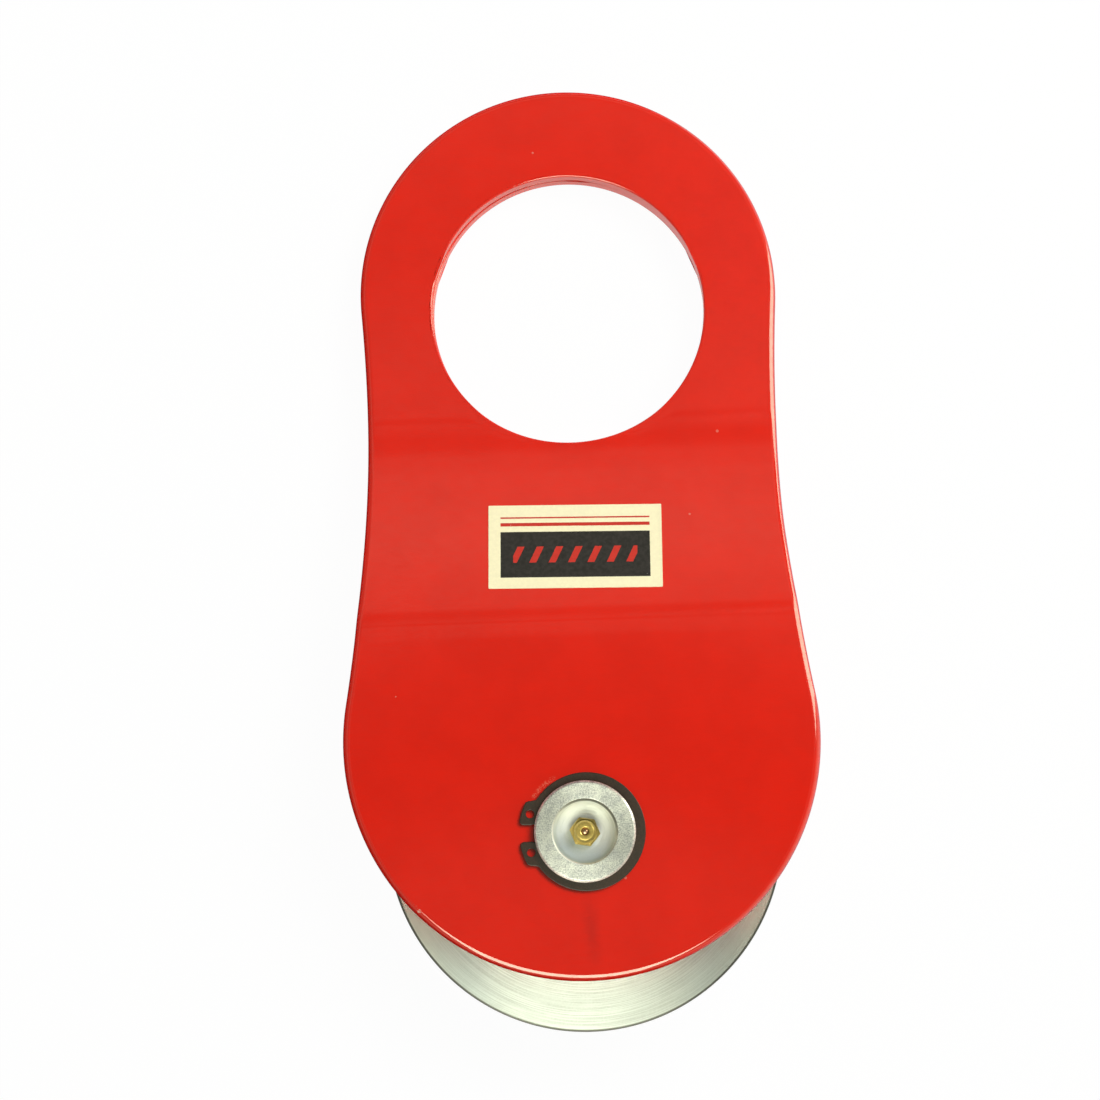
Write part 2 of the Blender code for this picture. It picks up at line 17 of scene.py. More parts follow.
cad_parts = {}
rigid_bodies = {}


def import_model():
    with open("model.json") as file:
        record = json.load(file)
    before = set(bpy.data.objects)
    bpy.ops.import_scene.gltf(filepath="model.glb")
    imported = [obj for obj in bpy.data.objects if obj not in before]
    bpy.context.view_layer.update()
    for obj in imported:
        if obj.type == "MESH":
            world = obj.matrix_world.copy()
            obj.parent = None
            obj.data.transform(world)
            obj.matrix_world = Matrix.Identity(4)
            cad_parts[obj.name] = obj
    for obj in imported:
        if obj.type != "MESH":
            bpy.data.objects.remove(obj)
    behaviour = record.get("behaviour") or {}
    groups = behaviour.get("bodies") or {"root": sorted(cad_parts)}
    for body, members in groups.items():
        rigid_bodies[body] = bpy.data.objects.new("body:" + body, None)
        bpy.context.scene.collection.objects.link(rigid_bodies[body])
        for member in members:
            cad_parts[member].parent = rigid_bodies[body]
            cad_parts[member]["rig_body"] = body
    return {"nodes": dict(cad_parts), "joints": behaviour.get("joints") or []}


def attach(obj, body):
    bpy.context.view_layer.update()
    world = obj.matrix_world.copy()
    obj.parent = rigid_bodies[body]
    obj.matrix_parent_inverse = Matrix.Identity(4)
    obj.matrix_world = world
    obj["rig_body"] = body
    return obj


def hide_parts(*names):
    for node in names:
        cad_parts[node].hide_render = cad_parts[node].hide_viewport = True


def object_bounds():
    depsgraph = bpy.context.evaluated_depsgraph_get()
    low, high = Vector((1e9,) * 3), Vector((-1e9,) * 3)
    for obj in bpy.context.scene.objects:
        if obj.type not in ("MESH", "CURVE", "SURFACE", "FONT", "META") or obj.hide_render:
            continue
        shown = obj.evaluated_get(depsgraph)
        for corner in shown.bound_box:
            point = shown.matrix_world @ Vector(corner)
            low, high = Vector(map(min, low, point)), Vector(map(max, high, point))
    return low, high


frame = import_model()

bl_info = {
    "name": "Snatch Block",
    "version": (1, 0, 0),
    "blender": (4, 5, 0),
    "location": "3D View > Sidebar > Snatch Block",
    "description": "Builds the finished pieces of a snatch block over its packed CAD model",
    "category": "Add Mesh",
}

CAD_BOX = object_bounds()

# Points that are closer than this are one
TINY = 1e-7


# The block's place and the measures that its CAD pieces already have


def block_matrix():
    """The block's own axes in the row frame, from its pin's joint."""
    joint = frame["joints"][0]
    along = Vector(joint["axis"]).normalized()
    across = Vector((1, 0, 0))
    matrix = Matrix((across, along.cross(across), along)).transposed().to_4x4()
    matrix.translation = Vector(joint["pos_m"])
    return matrix


BLOCK = block_matrix()


def local_box(node):
    """Lowest and highest corner of a CAD node in the block's own axes."""
    back = BLOCK.inverted()
    points = np.array([back @ vert.co for vert in frame["nodes"][node].data.vertices])
    return Vector(points.min(0)), Vector(points.max(0))


PLATE_LOW, PLATE_HIGH = local_box("front_cheek_plate")
_, SHEAVE_HIGH = local_box("sheave")
_, BUSH_HIGH = local_box("sheave_bush")
WASHER_LOW, WASHER_HIGH = local_box("front_thrust_washer")
PIN_LOW, PIN_HIGH = local_box("axle_pin")
RING_LOW, RING_HIGH = local_box("retaining_ring")
NIPPLE_LOW, NIPPLE_HIGH = local_box("grease_nipple")
BALL_LOW, BALL_HIGH = local_box("nipple_ball")
SPRING_LOW, SPRING_HIGH = local_box("nipple_spring")
RIM_RADIUS = min(SHEAVE_HIGH.x, SHEAVE_HIGH.y)
BALL_RADIUS = (BALL_HIGH.z - BALL_LOW.z) / 2


# Kinds of setting


def length(name, description, default):
    """A size in metres, shown as a distance."""
    return FloatProperty(
        name=name, description=description, default=default, min=0.0, precision=5, subtype="DISTANCE", unit="LENGTH"
    )


def angle(name, description, degrees):
    """An angle, given in degrees and kept in radians."""
    return FloatProperty(
        name=name, description=description, default=math.radians(degrees), subtype="ANGLE", unit="ROTATION"
    )


def number(name, description, default):
    """A plain number."""
    return FloatProperty(name=name, description=description, default=default, min=0.0, precision=3)


def count(name, description, default):
    """A whole number of turns or facets."""
    return IntProperty(name=name, description=description, default=default, min=3)


def colour(name, description, default):
    """A colour in linear light."""
    return FloatVectorProperty(
        name=name, description=description, default=default, size=3, min=0.0, max=1.0, subtype="COLOR"
    )


class PlateSizes(bpy.types.PropertyGroup):
    """Cheek plates, joggled and painted"""

    thickness: length("Thickness", "Steel of a cheek plate", 0.006)
    hole_radius: length("Eye hole radius", "Hole for the shackle", 0.0412)
    hole_margin: length("Eye hole margin", "From the upper corner of the joggle to the hole", 0.0006)
    crown_shift: length("Crown shift", "How far the eye's outline is centred beyond its hole", 0.005)
    lobe_height: length("Lobe height", "Centre of the lobe round the sheave, above the pin", 0.027)
    flank_radius: length("Flank radius", "Hollow sides between the two lobes", 0.500)
    joggle_start: length("Joggle start", "Lower bend's start, above the pin", 0.0613)
    joggle_angle: angle("Joggle angle", "Slope between the two bends", 17)
    lower_bend: length("Lower bend radius", "Bend beside the sheave, at the middle of the steel", 0.025)
    upper_bend: length("Upper bend radius", "Bend beside the eye, at the middle of the steel", 0.070)
    bore: length("Pin bore radius", "Hole for the pin", 0.0152)
    outer_round: length("Outer rounding", "Front edge of the outline", 0.002)
    hole_round: length("Hole rounding", "Front edge of the eye hole", 0.0006)
    inner_round: length("Inner rounding", "Edges on the inside of the block", 0.0005)
    warp: length("Warp", "Unevenness left by pressing", 0.00004)
    bulge: length("Bend bulge", "Steel squeezed out at the ends of a bend", 0.0001)
    sway: length("Sway", "How far the slope bends from a straight line", 0.0001)
    lean: angle("Lean", "How far the rear plate is turned on the pin", 0.15)
    oval: number("Oval", "How much further the eye reaches to +X", 0.012)
    cell: length("Cell", "Spacing of the points on the flats", 0.0035)


class SheaveSizes(bpy.types.PropertyGroup):
    """Turned sheave, its bush and the thrust washers"""

    groove_radius: length("Groove radius", "Bottom of the rope groove", 0.007)
    groove_depth: length("Groove depth", "Rope groove, from the rim", 0.013)
    flank_angle: angle("Groove flank angle", "Flare of the rope groove", 22)
    hub_radius: length("Hub radius", "Raised face round the bore", 0.0255)
    rim_band: length("Rim band", "Width of the rim's flat side", 0.0165)
    rim_relief: length("Rim relief", "Rim's side below the hub face", 0.0008)
    web_depth: length("Web depth", "Web below the hub face", 0.0025)
    web_slope: length("Web slope", "Run of the web's sloped ends", 0.0015)
    edge: length("Edge", "Broken edges", 0.0008)
    bush_wall: length("Bush wall", "Thickness of the bush", 0.003)
    grease_groove: length("Grease groove", "Half the width of the bush's groove", 0.002)
    segments: count("Segments", "Facets round the sheave", 224)


class PinSizes(bpy.types.PropertyGroup):
    """Headed pin with its greasing recess"""

    radius: length("Radius", "Pin", 0.015)
    head_thickness: length("Head thickness", "Head at the back", 0.005)
    ring_groove: length("Ring groove", "Depth of the retaining ring's groove", 0.0007)
    ring_play: length("Ring play", "Room beside and under the retaining ring", 0.00015)
    recess_radius: length("Recess radius", "Mouth of the recess", 0.0097)
    recess_floor: length("Recess floor radius", "End of the recess wall", 0.0089)
    recess_wall: length("Recess wall", "Depth of the recess wall", 0.005)
    channel: length("Channel radius", "Grease drilling", 0.002)
    cross_hole: length("Cross hole radius", "Way out to the bush", 0.0016)
    segments: count("Segments", "Facets round the pin", 160)


class RingSizes(bpy.types.PropertyGroup):
    """Retaining ring with its plier lugs"""

    back_width: length("Back width", "Opposite the gap", 0.0035)
    side_width: length("Side width", "Beside the lugs", 0.0026)
    lug_width: length("Lug width", "At the gap", 0.0051)
    lug_angle: angle("Lug angle", "End of a lug, from the middle of the gap", 27)
    lug_fade: angle("Lug fade", "Run from a lug into the ring", 9)
    gap_half: length("Half gap", "Half of the gap's width", 0.00245)
    hole_radius: length("Plier hole radius", "Hole in a lug", 0.00125)
    hole_angle: angle("Plier hole angle", "From the middle of the gap", 19.5)
    edge: length("Edge", "Rounding left by stamping", 0.00022)


class NippleSizes(bpy.types.PropertyGroup):
    """Grease nipple with its check ball and spring"""

    shank: length("Shank radius", "Screwed end", 0.003)
    flats: length("Across flats", "Hexagon", 0.008)
    hexagon_height: length("Hexagon height", "Hexagon", 0.003)
    turn: angle("Turn", "How far the hexagon was screwed round", -9.5)
    neck: length("Neck radius", "Between the hexagon and the head", 0.0023)
    head: length("Head radius", "Coupler's grip", 0.0033)
    face: length("Face radius", "Flat round the ball", 0.0026)
    seat: length("Ball seat radius", "Hole that the ball shuts", 0.0011)
    wire: length("Wire radius", "Spring", 0.0002)
    coils: count("Coils", "Turns of the spring", 6)
    segments: count("Segments", "Facets round the nipple", 96)


class StickerSizes(bpy.types.PropertyGroup):
    """Printed film on the front plate's slope"""

    width: length("Width", "Across the plate", 0.052)
    height: length("Height", "Up the slope", 0.027)
    film: length("Film", "Thickness", 0.00014)
    margin: length("Margin", "Above the lower bend", 0.0032)
    corner: length("Corner", "Rounded corners", 0.0003)
    turn: angle("Turn", "How far it is out of square", -1.3)
    lift: length("Lift", "How far the loose edge stands off", 0.00022)
    crease: length("Crease", "From the loose edge to the crease", 0.0016)


class Finishes(bpy.types.PropertyGroup):
    """Colours of the finishes"""

    paint: colour("Paint", "Gloss enamel", (0.770, 0.0108, 0.0022))
    zinc: colour("Zinc", "Bright zinc plate", (0.88, 0.89, 1.0))
    turned: colour("Turned steel", "Side of the sheave", (0.73, 0.76, 0.78))
    black: colour("Blackened steel", "Retaining ring", (0.026, 0.015, 0.010))
    bronze: colour("Bronze", "Bush", (0.55, 0.32, 0.14))
    brass: colour("Brass", "Grease nipple", (0.86, 0.63, 0.21))
    steel: colour("Bright steel", "Washers, ball and spring", (0.75, 0.75, 0.76))
    film: colour("Film", "Sticker's ground", (0.98, 0.90, 0.60))
    ink: colour("Ink", "Dark print", (0.020, 0.017, 0.016))
    red_ink: colour("Red ink", "Red print", (0.60, 0.030, 0.020))


class StageSettings(bpy.types.PropertyGroup):
    """Camera, lamps and floor"""

    lens: FloatProperty(name="Lens", description="Focal length", default=113.9, unit="CAMERA")
    roll: angle("Roll", "Camera's turn about its own axis", -1.87)
    key_light: number("Key light", "Brightness of the lamp panel at the far right, which no gloss mirrors", 12.2)
    front_light: number("Front light", "Brightness of the panel beyond the sheave, for the gloss", 5.8)
    side_light: number("Side light", "Brightness of the tall panel on the right, for the gloss", 4.2)
    sky: number("Sky", "Brightness of the room", 1.0)


class SnatchBlockSettings(bpy.types.PropertyGroup):
    """All the settings of the snatch block"""

    plates: PointerProperty(type=PlateSizes)
    sheave: PointerProperty(type=SheaveSizes)
    pin: PointerProperty(type=PinSizes)
    ring: PointerProperty(type=RingSizes)
    nipple: PointerProperty(type=NippleSizes)
    sticker: PointerProperty(type=StickerSizes)
    finishes: PointerProperty(type=Finishes)
    stage: PointerProperty(type=StageSettings)


# Mesh tools


# A profile's slighter bends than this stay as they are, and a rounding takes up to this share of a side
SLIGHT_BEND = math.radians(12)
SHARE_OF_SIDE = 0.45


def spread(start, end, steps):
    """Equal steps from start to end, both included."""
    return [start + (end - start) * i / steps for i in range(steps + 1)]


def clamped(value):
    """The nearest number from 0 to 1."""
    return min(max(value, 0), 1)


def gentle(value):
    """0 below 0 and 1 above 1, with a smooth step between them."""
    share = clamped(value)
    return share * share * (3 - 2 * share)


def arc(centre, radius, start, end, steps):
    """Points on an arc, both ends included."""
    return [
        (centre[0] + radius * math.cos(turn), centre[1] + radius * math.sin(turn)) for turn in spread(start, end, steps)
    ]


def rounded(start, corner, end, steps):
    """A parabola that leaves start and reaches end along the two sides of a corner."""
    return [tuple(start * (1 - t) ** 2 + corner * 2 * t * (1 - t) + end * t * t) for t in spread(0, 1, steps)]


def placed(name, data):
    """A new object in the scene."""
    obj = bpy.data.objects.new(name, data)
    bpy.context.scene.collection.objects.link(obj)
    return obj


def finished(name, bm, material, sharp=32):
    """A smooth-shaded object from a bmesh in block measures, laid into the row frame."""
    bmesh.ops.remove_doubles(bm, verts=bm.verts, dist=TINY)
    bm.transform(BLOCK)
    bmesh.ops.recalc_face_normals(bm, faces=bm.faces)
    mesh = bpy.data.meshes.new(name)
    bm.to_mesh(mesh)
    bm.free()
    mesh.shade_smooth()
    mesh.set_sharp_from_angle(angle=math.radians(sharp))
    mesh.materials.append(material)
    return placed(name, mesh)


def stands_for(piece, node):
    """Hides the CAD node and lets the piece move with its body."""
    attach(piece, frame["nodes"][node]["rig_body"])
    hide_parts(node)


def filleted(corners, radius, steps):
    """Rounds the corners of an (r, z) profile. Each corner is (r, z) or (r, z, its own radius)."""
    points = []
    for i, corner in enumerate(corners):
        here = Vector(corner[:2])
        wanted = corner[2] if len(corner) > 2 else radius
        closed_end = i in (0, len(corners) - 1) and corners[0][0] == 0
        if wanted == 0 or closed_end:
            points.append(tuple(here))
            continue
        before = Vector(corners[i - 1][:2]) - here
        after = Vector(corners[(i + 1) % len(corners)][:2]) - here
        bend = math.pi - before.angle(after)
        if bend < SLIGHT_BEND:
            points.append(tuple(here))
            continue
        reach = min(wanted * math.tan(bend / 2), before.length * SHARE_OF_SIDE, after.length * SHARE_OF_SIDE)
        start = here + before.normalized() * reach
        end = here + after.normalized() * reach
        points += rounded(start, here, end, steps)
    return points


def turned(profile, segments, shape=None):
    """Spins an (r, z) profile round the pin's axis. shape may change a radius by its angle and height.

    Its UV map runs once round the axis in u, so that the finish can follow the lathe's marks.
    """
    bm = bmesh.new()
    lathe = bm.loops.layers.uv.new("lathe")
    rings = []
    for r, z in profile:
        if r < TINY:
            rings.append([bm.verts.new((0, 0, z))])
            continue
        ring = []
        for i in range(segments):
            turn = math.tau * i / segments
            reach = shape(r, z, turn) if shape else r
            ring.append(bm.verts.new((reach * math.cos(turn), reach * math.sin(turn), z)))
        rings.append(ring)
    ends = rings[1:] + rings[:1] if profile[0][0] > TINY else rings[1:]
    for row, (lower, upper) in enumerate(zip(rings, ends)):
        low_v, high_v = row / len(rings), (row + 1) / len(rings)
        for i in range(segments):
            j = (i + 1) % segments
            corners = {
                lower[i % len(lower)]: (i / segments, low_v),
                lower[j % len(lower)]: ((i + 1) / segments, low_v),
                upper[j % len(upper)]: ((i + 1) / segments, high_v),
                upper[i % len(upper)]: (i / segments, high_v),
            }
            for loop in bm.faces.new(list(corners)).loops:
                loop[lathe].uv = corners[loop.vert]
    return bm


def inset(loop, distance):
    """Moves a loop's points to its left, which is where the metal is on an outline and on a hole alike."""
    moved = []
    for i, (x, y) in enumerate(loop):
        before, after = loop[i - 1], loop[(i + 1) % len(loop)]
        dx, dy = after[0] - before[0], after[1] - before[1]
        size = math.hypot(dx, dy)
        moved.append((x - dy / size * distance, y + dx / size * distance))
    return moved


def edge_steps(thickness, low_round, high_round, steps=6, support=0.0002):
    """(inset, height) steps round a sheet's edge, with a support row beside each rounding."""
    low, high = -thickness / 2, thickness / 2
    rows = [(low_round + support, low)]
    for turn in spread(0, math.pi / 2, steps):
        rows.append((low_round * (1 - math.sin(turn)), low + low_round * (1 - math.cos(turn))))
    rows.append((0, low + low_round + support))
    rows.append((0, high - high_round - support))
    for turn in spread(0, math.pi / 2, steps):
        rows.append((high_round * (1 - math.cos(turn)), high - high_round * (1 - math.sin(turn))))
    rows.append((high_round + support, high))
    return rows


def cap(bm, rims, holes, grid, clearance):
    """Fills between the rims with triangles of an even size, so that the cap bends and shades cleanly."""
    height = rims[0][0].co.z
    verts = [vert for rim in rims for vert in rim]
    edges = []
    for rim in rims:
        first = len(edges)
        edges += [(first + i, first + (i + 1) % len(rim)) for i in range(len(rim))]
    rim_points = np.array([vert.co.xy for vert in verts])
    places = [vert.co.xy for vert in verts]
    for x, y in grid:
        gap = np.hypot(rim_points[:, 0] - x, rim_points[:, 1] - y).min()
        if gap > clearance and all(math.hypot(x - hx, y - hy) > r for (hx, hy), r in holes):
            places.append(Vector((x, y)))
    points, _, triangles, sources, _, _ = delaunay_2d_cdt(places, edges, [], 1, 1e-8)
    made = {}

    def vertex(index):
        source = sources[index][0] if sources[index] else -1
        if 0 <= source < len(verts):
            return verts[source]
        if index not in made:
            made[index] = bm.verts.new((points[index].x, points[index].y, height))
        return made[index]

    for triangle in triangles:
        centre = sum((points[i] for i in triangle), Vector((0, 0))) / 3
        if all((centre - Vector(hole)).length > r for hole, r in holes):
            bm.faces.new([vertex(i) for i in triangle])


def sheet(loops, holes, grid, clearance):
    """A flat solid from (points, edge steps) loops: the outline runs anticlockwise, and holes clockwise."""
    bm = bmesh.new()
    low_rims, high_rims = [], []
    for points, steps in loops:
        rings = [[bm.verts.new((x, y, z)) for x, y in inset(points, d)] for d, z in steps]
        for lower, upper in zip(rings, rings[1:]):
            for i in range(len(points)):
                j = (i + 1) % len(points)
                bm.faces.new((lower[i], lower[j], upper[j], upper[i]))
        low_rims.append(rings[0])
        high_rims.append(rings[-1])
    for rims in (low_rims, high_rims):
        cap(bm, rims, holes, grid, clearance)
    return bm


def circle_hole(centre, radius, steps):
    """A hole's loop, clockwise."""
    return arc(centre, radius, math.tau, 0, steps)[:-1]


# Cheek plates


# Points on the outline's arcs and on the holes, and rows of points across the two bends
FLANK_STEPS, EYE_LOBE_STEPS, SHEAVE_LOBE_STEPS = 130, 150, 180
EYE_STEPS, BORE_STEPS = 220, 120
LOW_BEND_ROWS, HIGH_BEND_ROWS = 12, 16

# How closely the pressed steel's waves lie, and how far in from the outline they and the bends' bulge reach
WAVES_PER_METRE = 28
WAVES_FADE = 0.012
BULGE_REACH = 0.005


class Joggle:
    """A cheek plate's two bends and the slope between them, followed along its middle surface."""

    def __init__(self, sizes):
        self.start = sizes.joggle_start
        self.angle = sizes.joggle_angle
        self.low_radius, self.high_radius = sizes.lower_bend, sizes.upper_bend
        self.half = sizes.thickness / 2
        self.cheek = PLATE_HIGH.z - self.half
        self.eye = PLATE_LOW.z + self.half
        drop = self.cheek - self.eye
        self.low_bend, self.high_bend = self.low_radius * self.angle, self.high_radius * self.angle
        low_tangent = self.low_radius * math.tan(self.angle / 2)
        self.high_tangent = self.high_radius * math.tan(self.angle / 2)
        slope = drop / math.sin(self.angle) - low_tangent - self.high_tangent
        self.length = self.low_bend + slope + self.high_bend
        self.corner = self.start + low_tangent + drop / math.tan(self.angle)
        self.end = self.corner + self.high_tangent
        self.takes_up = self.start + self.length - self.end
        self.second = self.start + self.low_bend + slope
        self.hole_y = self.corner + sizes.hole_margin + sizes.hole_radius

    def place(self, s):
        """Where the middle line goes at a distance s above the pin: (y, z, slope)."""
        along = s - self.start
        left = self.length - along
        if along <= 0:
            return s, self.cheek, 0.0
        if left <= 0:
            return s - self.takes_up, self.eye, 0.0
        if along <= self.low_bend:
            slope = along / self.low_radius
            y = self.start + self.low_radius * math.sin(slope)
            return y, self.cheek - self.low_radius * (1 - math.cos(slope)), slope
        if left <= self.high_bend:
            slope = left / self.high_radius
            y = self.end - self.high_radius * math.sin(slope)
            return y, self.eye + self.high_radius * (1 - math.cos(slope)), slope
        to_corner = self.high_tangent + left - self.high_bend
        y = self.corner - to_corner * math.cos(self.angle)
        return y, self.eye + to_corner * math.sin(self.angle), self.angle

    def squeeze(self, s):
        """How hard a bend squeezes the steel: 1 in the lower bend's middle, -0.5 in the upper one's and 0 elsewhere."""
        share = 0.0
        for start, bend, sign in ((self.start, self.low_bend, 1), (self.second, self.high_bend, -0.5)):
            t = (s - start) / bend
            if -0.5 < t < 1.5:
                share += sign * 0.5 * (1 + math.cos(math.pi * (t - 0.5)))
        return share


def plate_outline(sizes, joggle):
    """The blank's outline: a lobe round the sheave, a lobe round the eye and a hollow flank on each side."""
    low = sizes.lobe_height
    high = joggle.hole_y + sizes.crown_shift + joggle.takes_up
    low_r = min(PLATE_HIGH.x, low - PLATE_LOW.y)
    high_r = PLATE_HIGH.y - joggle.hole_y - sizes.crown_shift
    low_reach, high_reach = low_r + sizes.flank_radius, high_r + sizes.flank_radius
    span = high - low
    flank_y = low + (span**2 + low_reach**2 - high_reach**2) / (2 * span)
    flank_x = math.sqrt(low_reach**2 - (flank_y - low) ** 2)
    low_tangent = math.atan2(flank_y - low, flank_x)
    high_tangent = math.atan2(flank_y - high, flank_x)
    right = arc((flank_x, flank_y), sizes.flank_radius, math.pi + low_tangent, math.pi + high_tangent, FLANK_STEPS)
    left = [(-x, y) for x, y in reversed(right)]
    eye_lobe = arc((0, high), high_r, high_tangent, math.pi - high_tangent, EYE_LOBE_STEPS)
    sheave_lobe = arc((0, low), low_r, math.pi - low_tangent, math.tau + low_tangent, SHEAVE_LOBE_STEPS)
    return right[:-1] + eye_lobe[:-1] + left[:-1] + sheave_lobe[:-1]


def plate_grid(sizes, joggle, outline):
    """Points for the plate's flats, in rows across it that lie close together in the bends."""
    low, high = min(y for _, y in outline), max(y for _, y in outline)
    first_end, second_end = joggle.start + joggle.low_bend, joggle.second + joggle.high_bend
    stops = [low, joggle.start, first_end, joggle.second, second_end, high]
    low_step, high_step = joggle.low_bend / LOW_BEND_ROWS, joggle.high_bend / HIGH_BEND_ROWS
    steps = [sizes.cell, low_step, sizes.cell, high_step, sizes.cell]
    rows = []
    for start, end, step in zip(stops, stops[1:], steps):
        rows += spread(start, end, max(1, round((end - start) / step)))[:-1]
    width = max(x for x, _ in outline)
    columns = round(2 * width / sizes.cell)
    shift = sizes.cell / 2
    return [(x + shift * (i % 2), y) for i, y in enumerate(rows) for x in spread(-width, width, columns)]


def make_plate(name, side, sizes, material):
    """side is 1 for the front plate and -1 for the rear one, which is its mirror image."""
    joggle = Joggle(sizes)
    outline = plate_outline(sizes, joggle)
    eye = (0, joggle.hole_y + joggle.takes_up)
    eye_edge = edge_steps(sizes.thickness, sizes.inner_round, sizes.hole_round)
    loops = [
        (outline, edge_steps(sizes.thickness, sizes.inner_round, sizes.outer_round)),
        (circle_hole(eye, sizes.hole_radius, EYE_STEPS), eye_edge),
        (circle_hole((0, 0), sizes.bore, BORE_STEPS), edge_steps(sizes.thickness, 0.0002, 0.0002, steps=3)),
    ]
    holes = [(eye, sizes.hole_radius), ((0, 0), sizes.bore)]
    bm = sheet(loops, holes, plate_grid(sizes, joggle, outline), sizes.cell * 0.45)
    rim = np.array(outline)
    slope_start, eye_start = joggle.start + joggle.low_bend, joggle.second - joggle.high_bend
    for vert in bm.verts:
        x, s, height = vert.co
        to_edge = np.hypot(rim[:, 0] - x, rim[:, 1] - s).min()
        y, z, slope = joggle.place(s)
        waves = noise.noise(Vector((x, s, 0.1 * side)) * WAVES_PER_METRE)
        z += sizes.warp * min(to_edge / WAVES_FADE, 1) * waves
        z += sizes.sway * math.sin(math.tau * clamped((s - slope_start) / (joggle.second - slope_start)))
        squeezed = joggle.squeeze(s) * -height / joggle.half
        push = sizes.bulge * squeezed * max(0, 1 - to_edge / BULGE_REACH) ** 2
        stretch = 1 + sizes.oval * gentle((s - eye_start) / (2 * joggle.high_bend)) * (x > 0)
        vert.co.x = x * stretch + math.copysign(push, x)
        if side < 0:
            vert.co.x += (s - sizes.lobe_height) * math.tan(sizes.lean)
        vert.co.y = y + height * math.sin(slope)
        vert.co.z = side * (z + height * math.cos(slope))
    return finished(name, bm, material)


class SNATCH_OT_cheek_plates(bpy.types.Operator):
    """Builds the two joggled, painted cheek plates"""

    bl_idname = "snatch.cheek_plates"
    bl_label = "Cheek Plates"

    def execute(self, context):
        settings = context.scene.snatch_block
        paint = red_paint(settings.finishes, settings.plates)
        for name, side, node in (("plate_front", 1, "front_cheek_plate"), ("plate_rear", -1, "rear_cheek_plate")):
            stands_for(make_plate(name, side, settings.plates, paint), node)
        return {"FINISHED"}


# Sheave, bush and thrust washers


# Between the bush and the sheave, which would otherwise share one surface
PRESS_ROOM = 0.00012

# Depth of the bush's grease groove, and the facets round the bush and the washers
GROOVE_DEPTH = 0.0008
BORE_FACETS = 120


def sheave_profile(sizes):
    """One half of the sheave's closed section, from the bottom of the rope groove to the bore."""
    face = SHEAVE_HIGH.z
    bore = BUSH_HIGH.x + PRESS_ROOM
    centre_r = RIM_RADIUS - sizes.groove_depth + sizes.groove_radius
    end = math.pi / 2 - sizes.flank_angle
    points = arc((centre_r, 0), sizes.groove_radius, math.pi, math.pi - end, 16)
    flank_r, flank_z = points[-1]
    mouth_z = flank_z + (RIM_RADIUS - flank_r) * math.tan(sizes.flank_angle)
    side = [
        (flank_r, flank_z, 0),
        (RIM_RADIUS, mouth_z, sizes.edge),
        (RIM_RADIUS, face - sizes.rim_relief, sizes.edge),
        (RIM_RADIUS - sizes.rim_band, face - sizes.rim_relief, 0.0005),
        (RIM_RADIUS - sizes.rim_band - sizes.web_slope, face - sizes.web_depth, sizes.edge),
        (sizes.hub_radius + sizes.web_slope, face - sizes.web_depth, sizes.edge),
        (sizes.hub_radius, face, 0.0005),
        (bore + sizes.edge, face, 0.0002),
        (bore, face - sizes.edge, 0.0002),
        (bore, 0, 0),
    ]
    return points[:-1] + filleted(side, 0.0003, 5)


def mirrored(half):
    """Closes a section that is the same on both sides of z = 0, and supports its edges."""
    return supported(half + [(r, -z) for r, z in reversed(half[1:-1])])


def supported(profile, gap=0.0004):
    """Adds points to a profile's long straights, close to their ends, so that they shade flat."""
    points = []
    for (r0, z0), (r1, z1) in zip(profile, profile[1:] + profile[:1]):
        points.append((r0, z0))
        size = math.hypot(r1 - r0, z1 - z0)
        on_axis = r0 == r1 == 0
        if size > 3 * gap and not on_axis:
            for t in (gap / size, 1 - gap / size):
                points.append((r0 + (r1 - r0) * t, z0 + (z1 - z0) * t))
    return points


class SNATCH_OT_sheave(bpy.types.Operator):
    """Turns the rope sheave"""

    bl_idname = "snatch.sheave"
    bl_label = "Sheave"

    def execute(self, context):
        settings = context.scene.snatch_block
        bm = turned(mirrored(sheave_profile(settings.sheave)), settings.sheave.segments)
        piece = finished("sheave_turned", bm, turned_steel(settings.finishes))
        stands_for(piece, "sheave")
        return {"FINISHED"}


class SNATCH_OT_bush_and_washers(bpy.types.Operator):
    """Turns the sheave's bush and stamps the two thrust washers"""

    bl_idname = "snatch.bush_and_washers"
    bl_label = "Bush and Washers"

    def execute(self, context):
        settings = context.scene.snatch_block
        sizes = settings.sheave
        outer = min(BUSH_HIGH.x, BUSH_HIGH.y)
        inner = outer - sizes.bush_wall
        groove = inner + GROOVE_DEPTH
        end = BUSH_HIGH.z
        half = filleted(
            [
                (groove, 0, 0),
                (groove, sizes.grease_groove, 0.0002),
                (inner, sizes.grease_groove, 0.0001),
                (inner, end, 0.0004),
                (outer, end, 0.0003),
                (outer, 0, 0),
            ],
            0.0002,
            3,
        )
        bush = finished("bush_turned", turned(mirrored(half), BORE_FACETS), bush_bronze(settings.finishes))
        stands_for(bush, "sheave_bush")
        steel = bright_steel(settings.finishes)
        bore, rim = settings.plates.bore, min(WASHER_HIGH.x, WASHER_HIGH.y)
        for name, side, node in (("washer_front", 1, "front_thrust_washer"), ("washer_rear", -1, "rear_thrust_washer")):
            near, far = sorted((side * WASHER_LOW.z, side * WASHER_HIGH.z))
            corners = [(bore, near), (rim, near), (rim, far), (bore, far)]
            bm = turned(supported(filleted(corners, 0.0002, 3)), BORE_FACETS)
            stands_for(finished(name, bm, steel), node)
        return {"FINISHED"}


# Axle pin


# The recess: its steep lip, how far its wall leans to each side, and its floor, hollow down to the nipple's seat
LIP_DEPTH = 0.0016
WALL_LEAN = 0.0004
HOLLOW_HEIGHT, HOLLOW_ROUND = 0.0011, 0.0022
FLOOR_LEAN = math.radians(60)

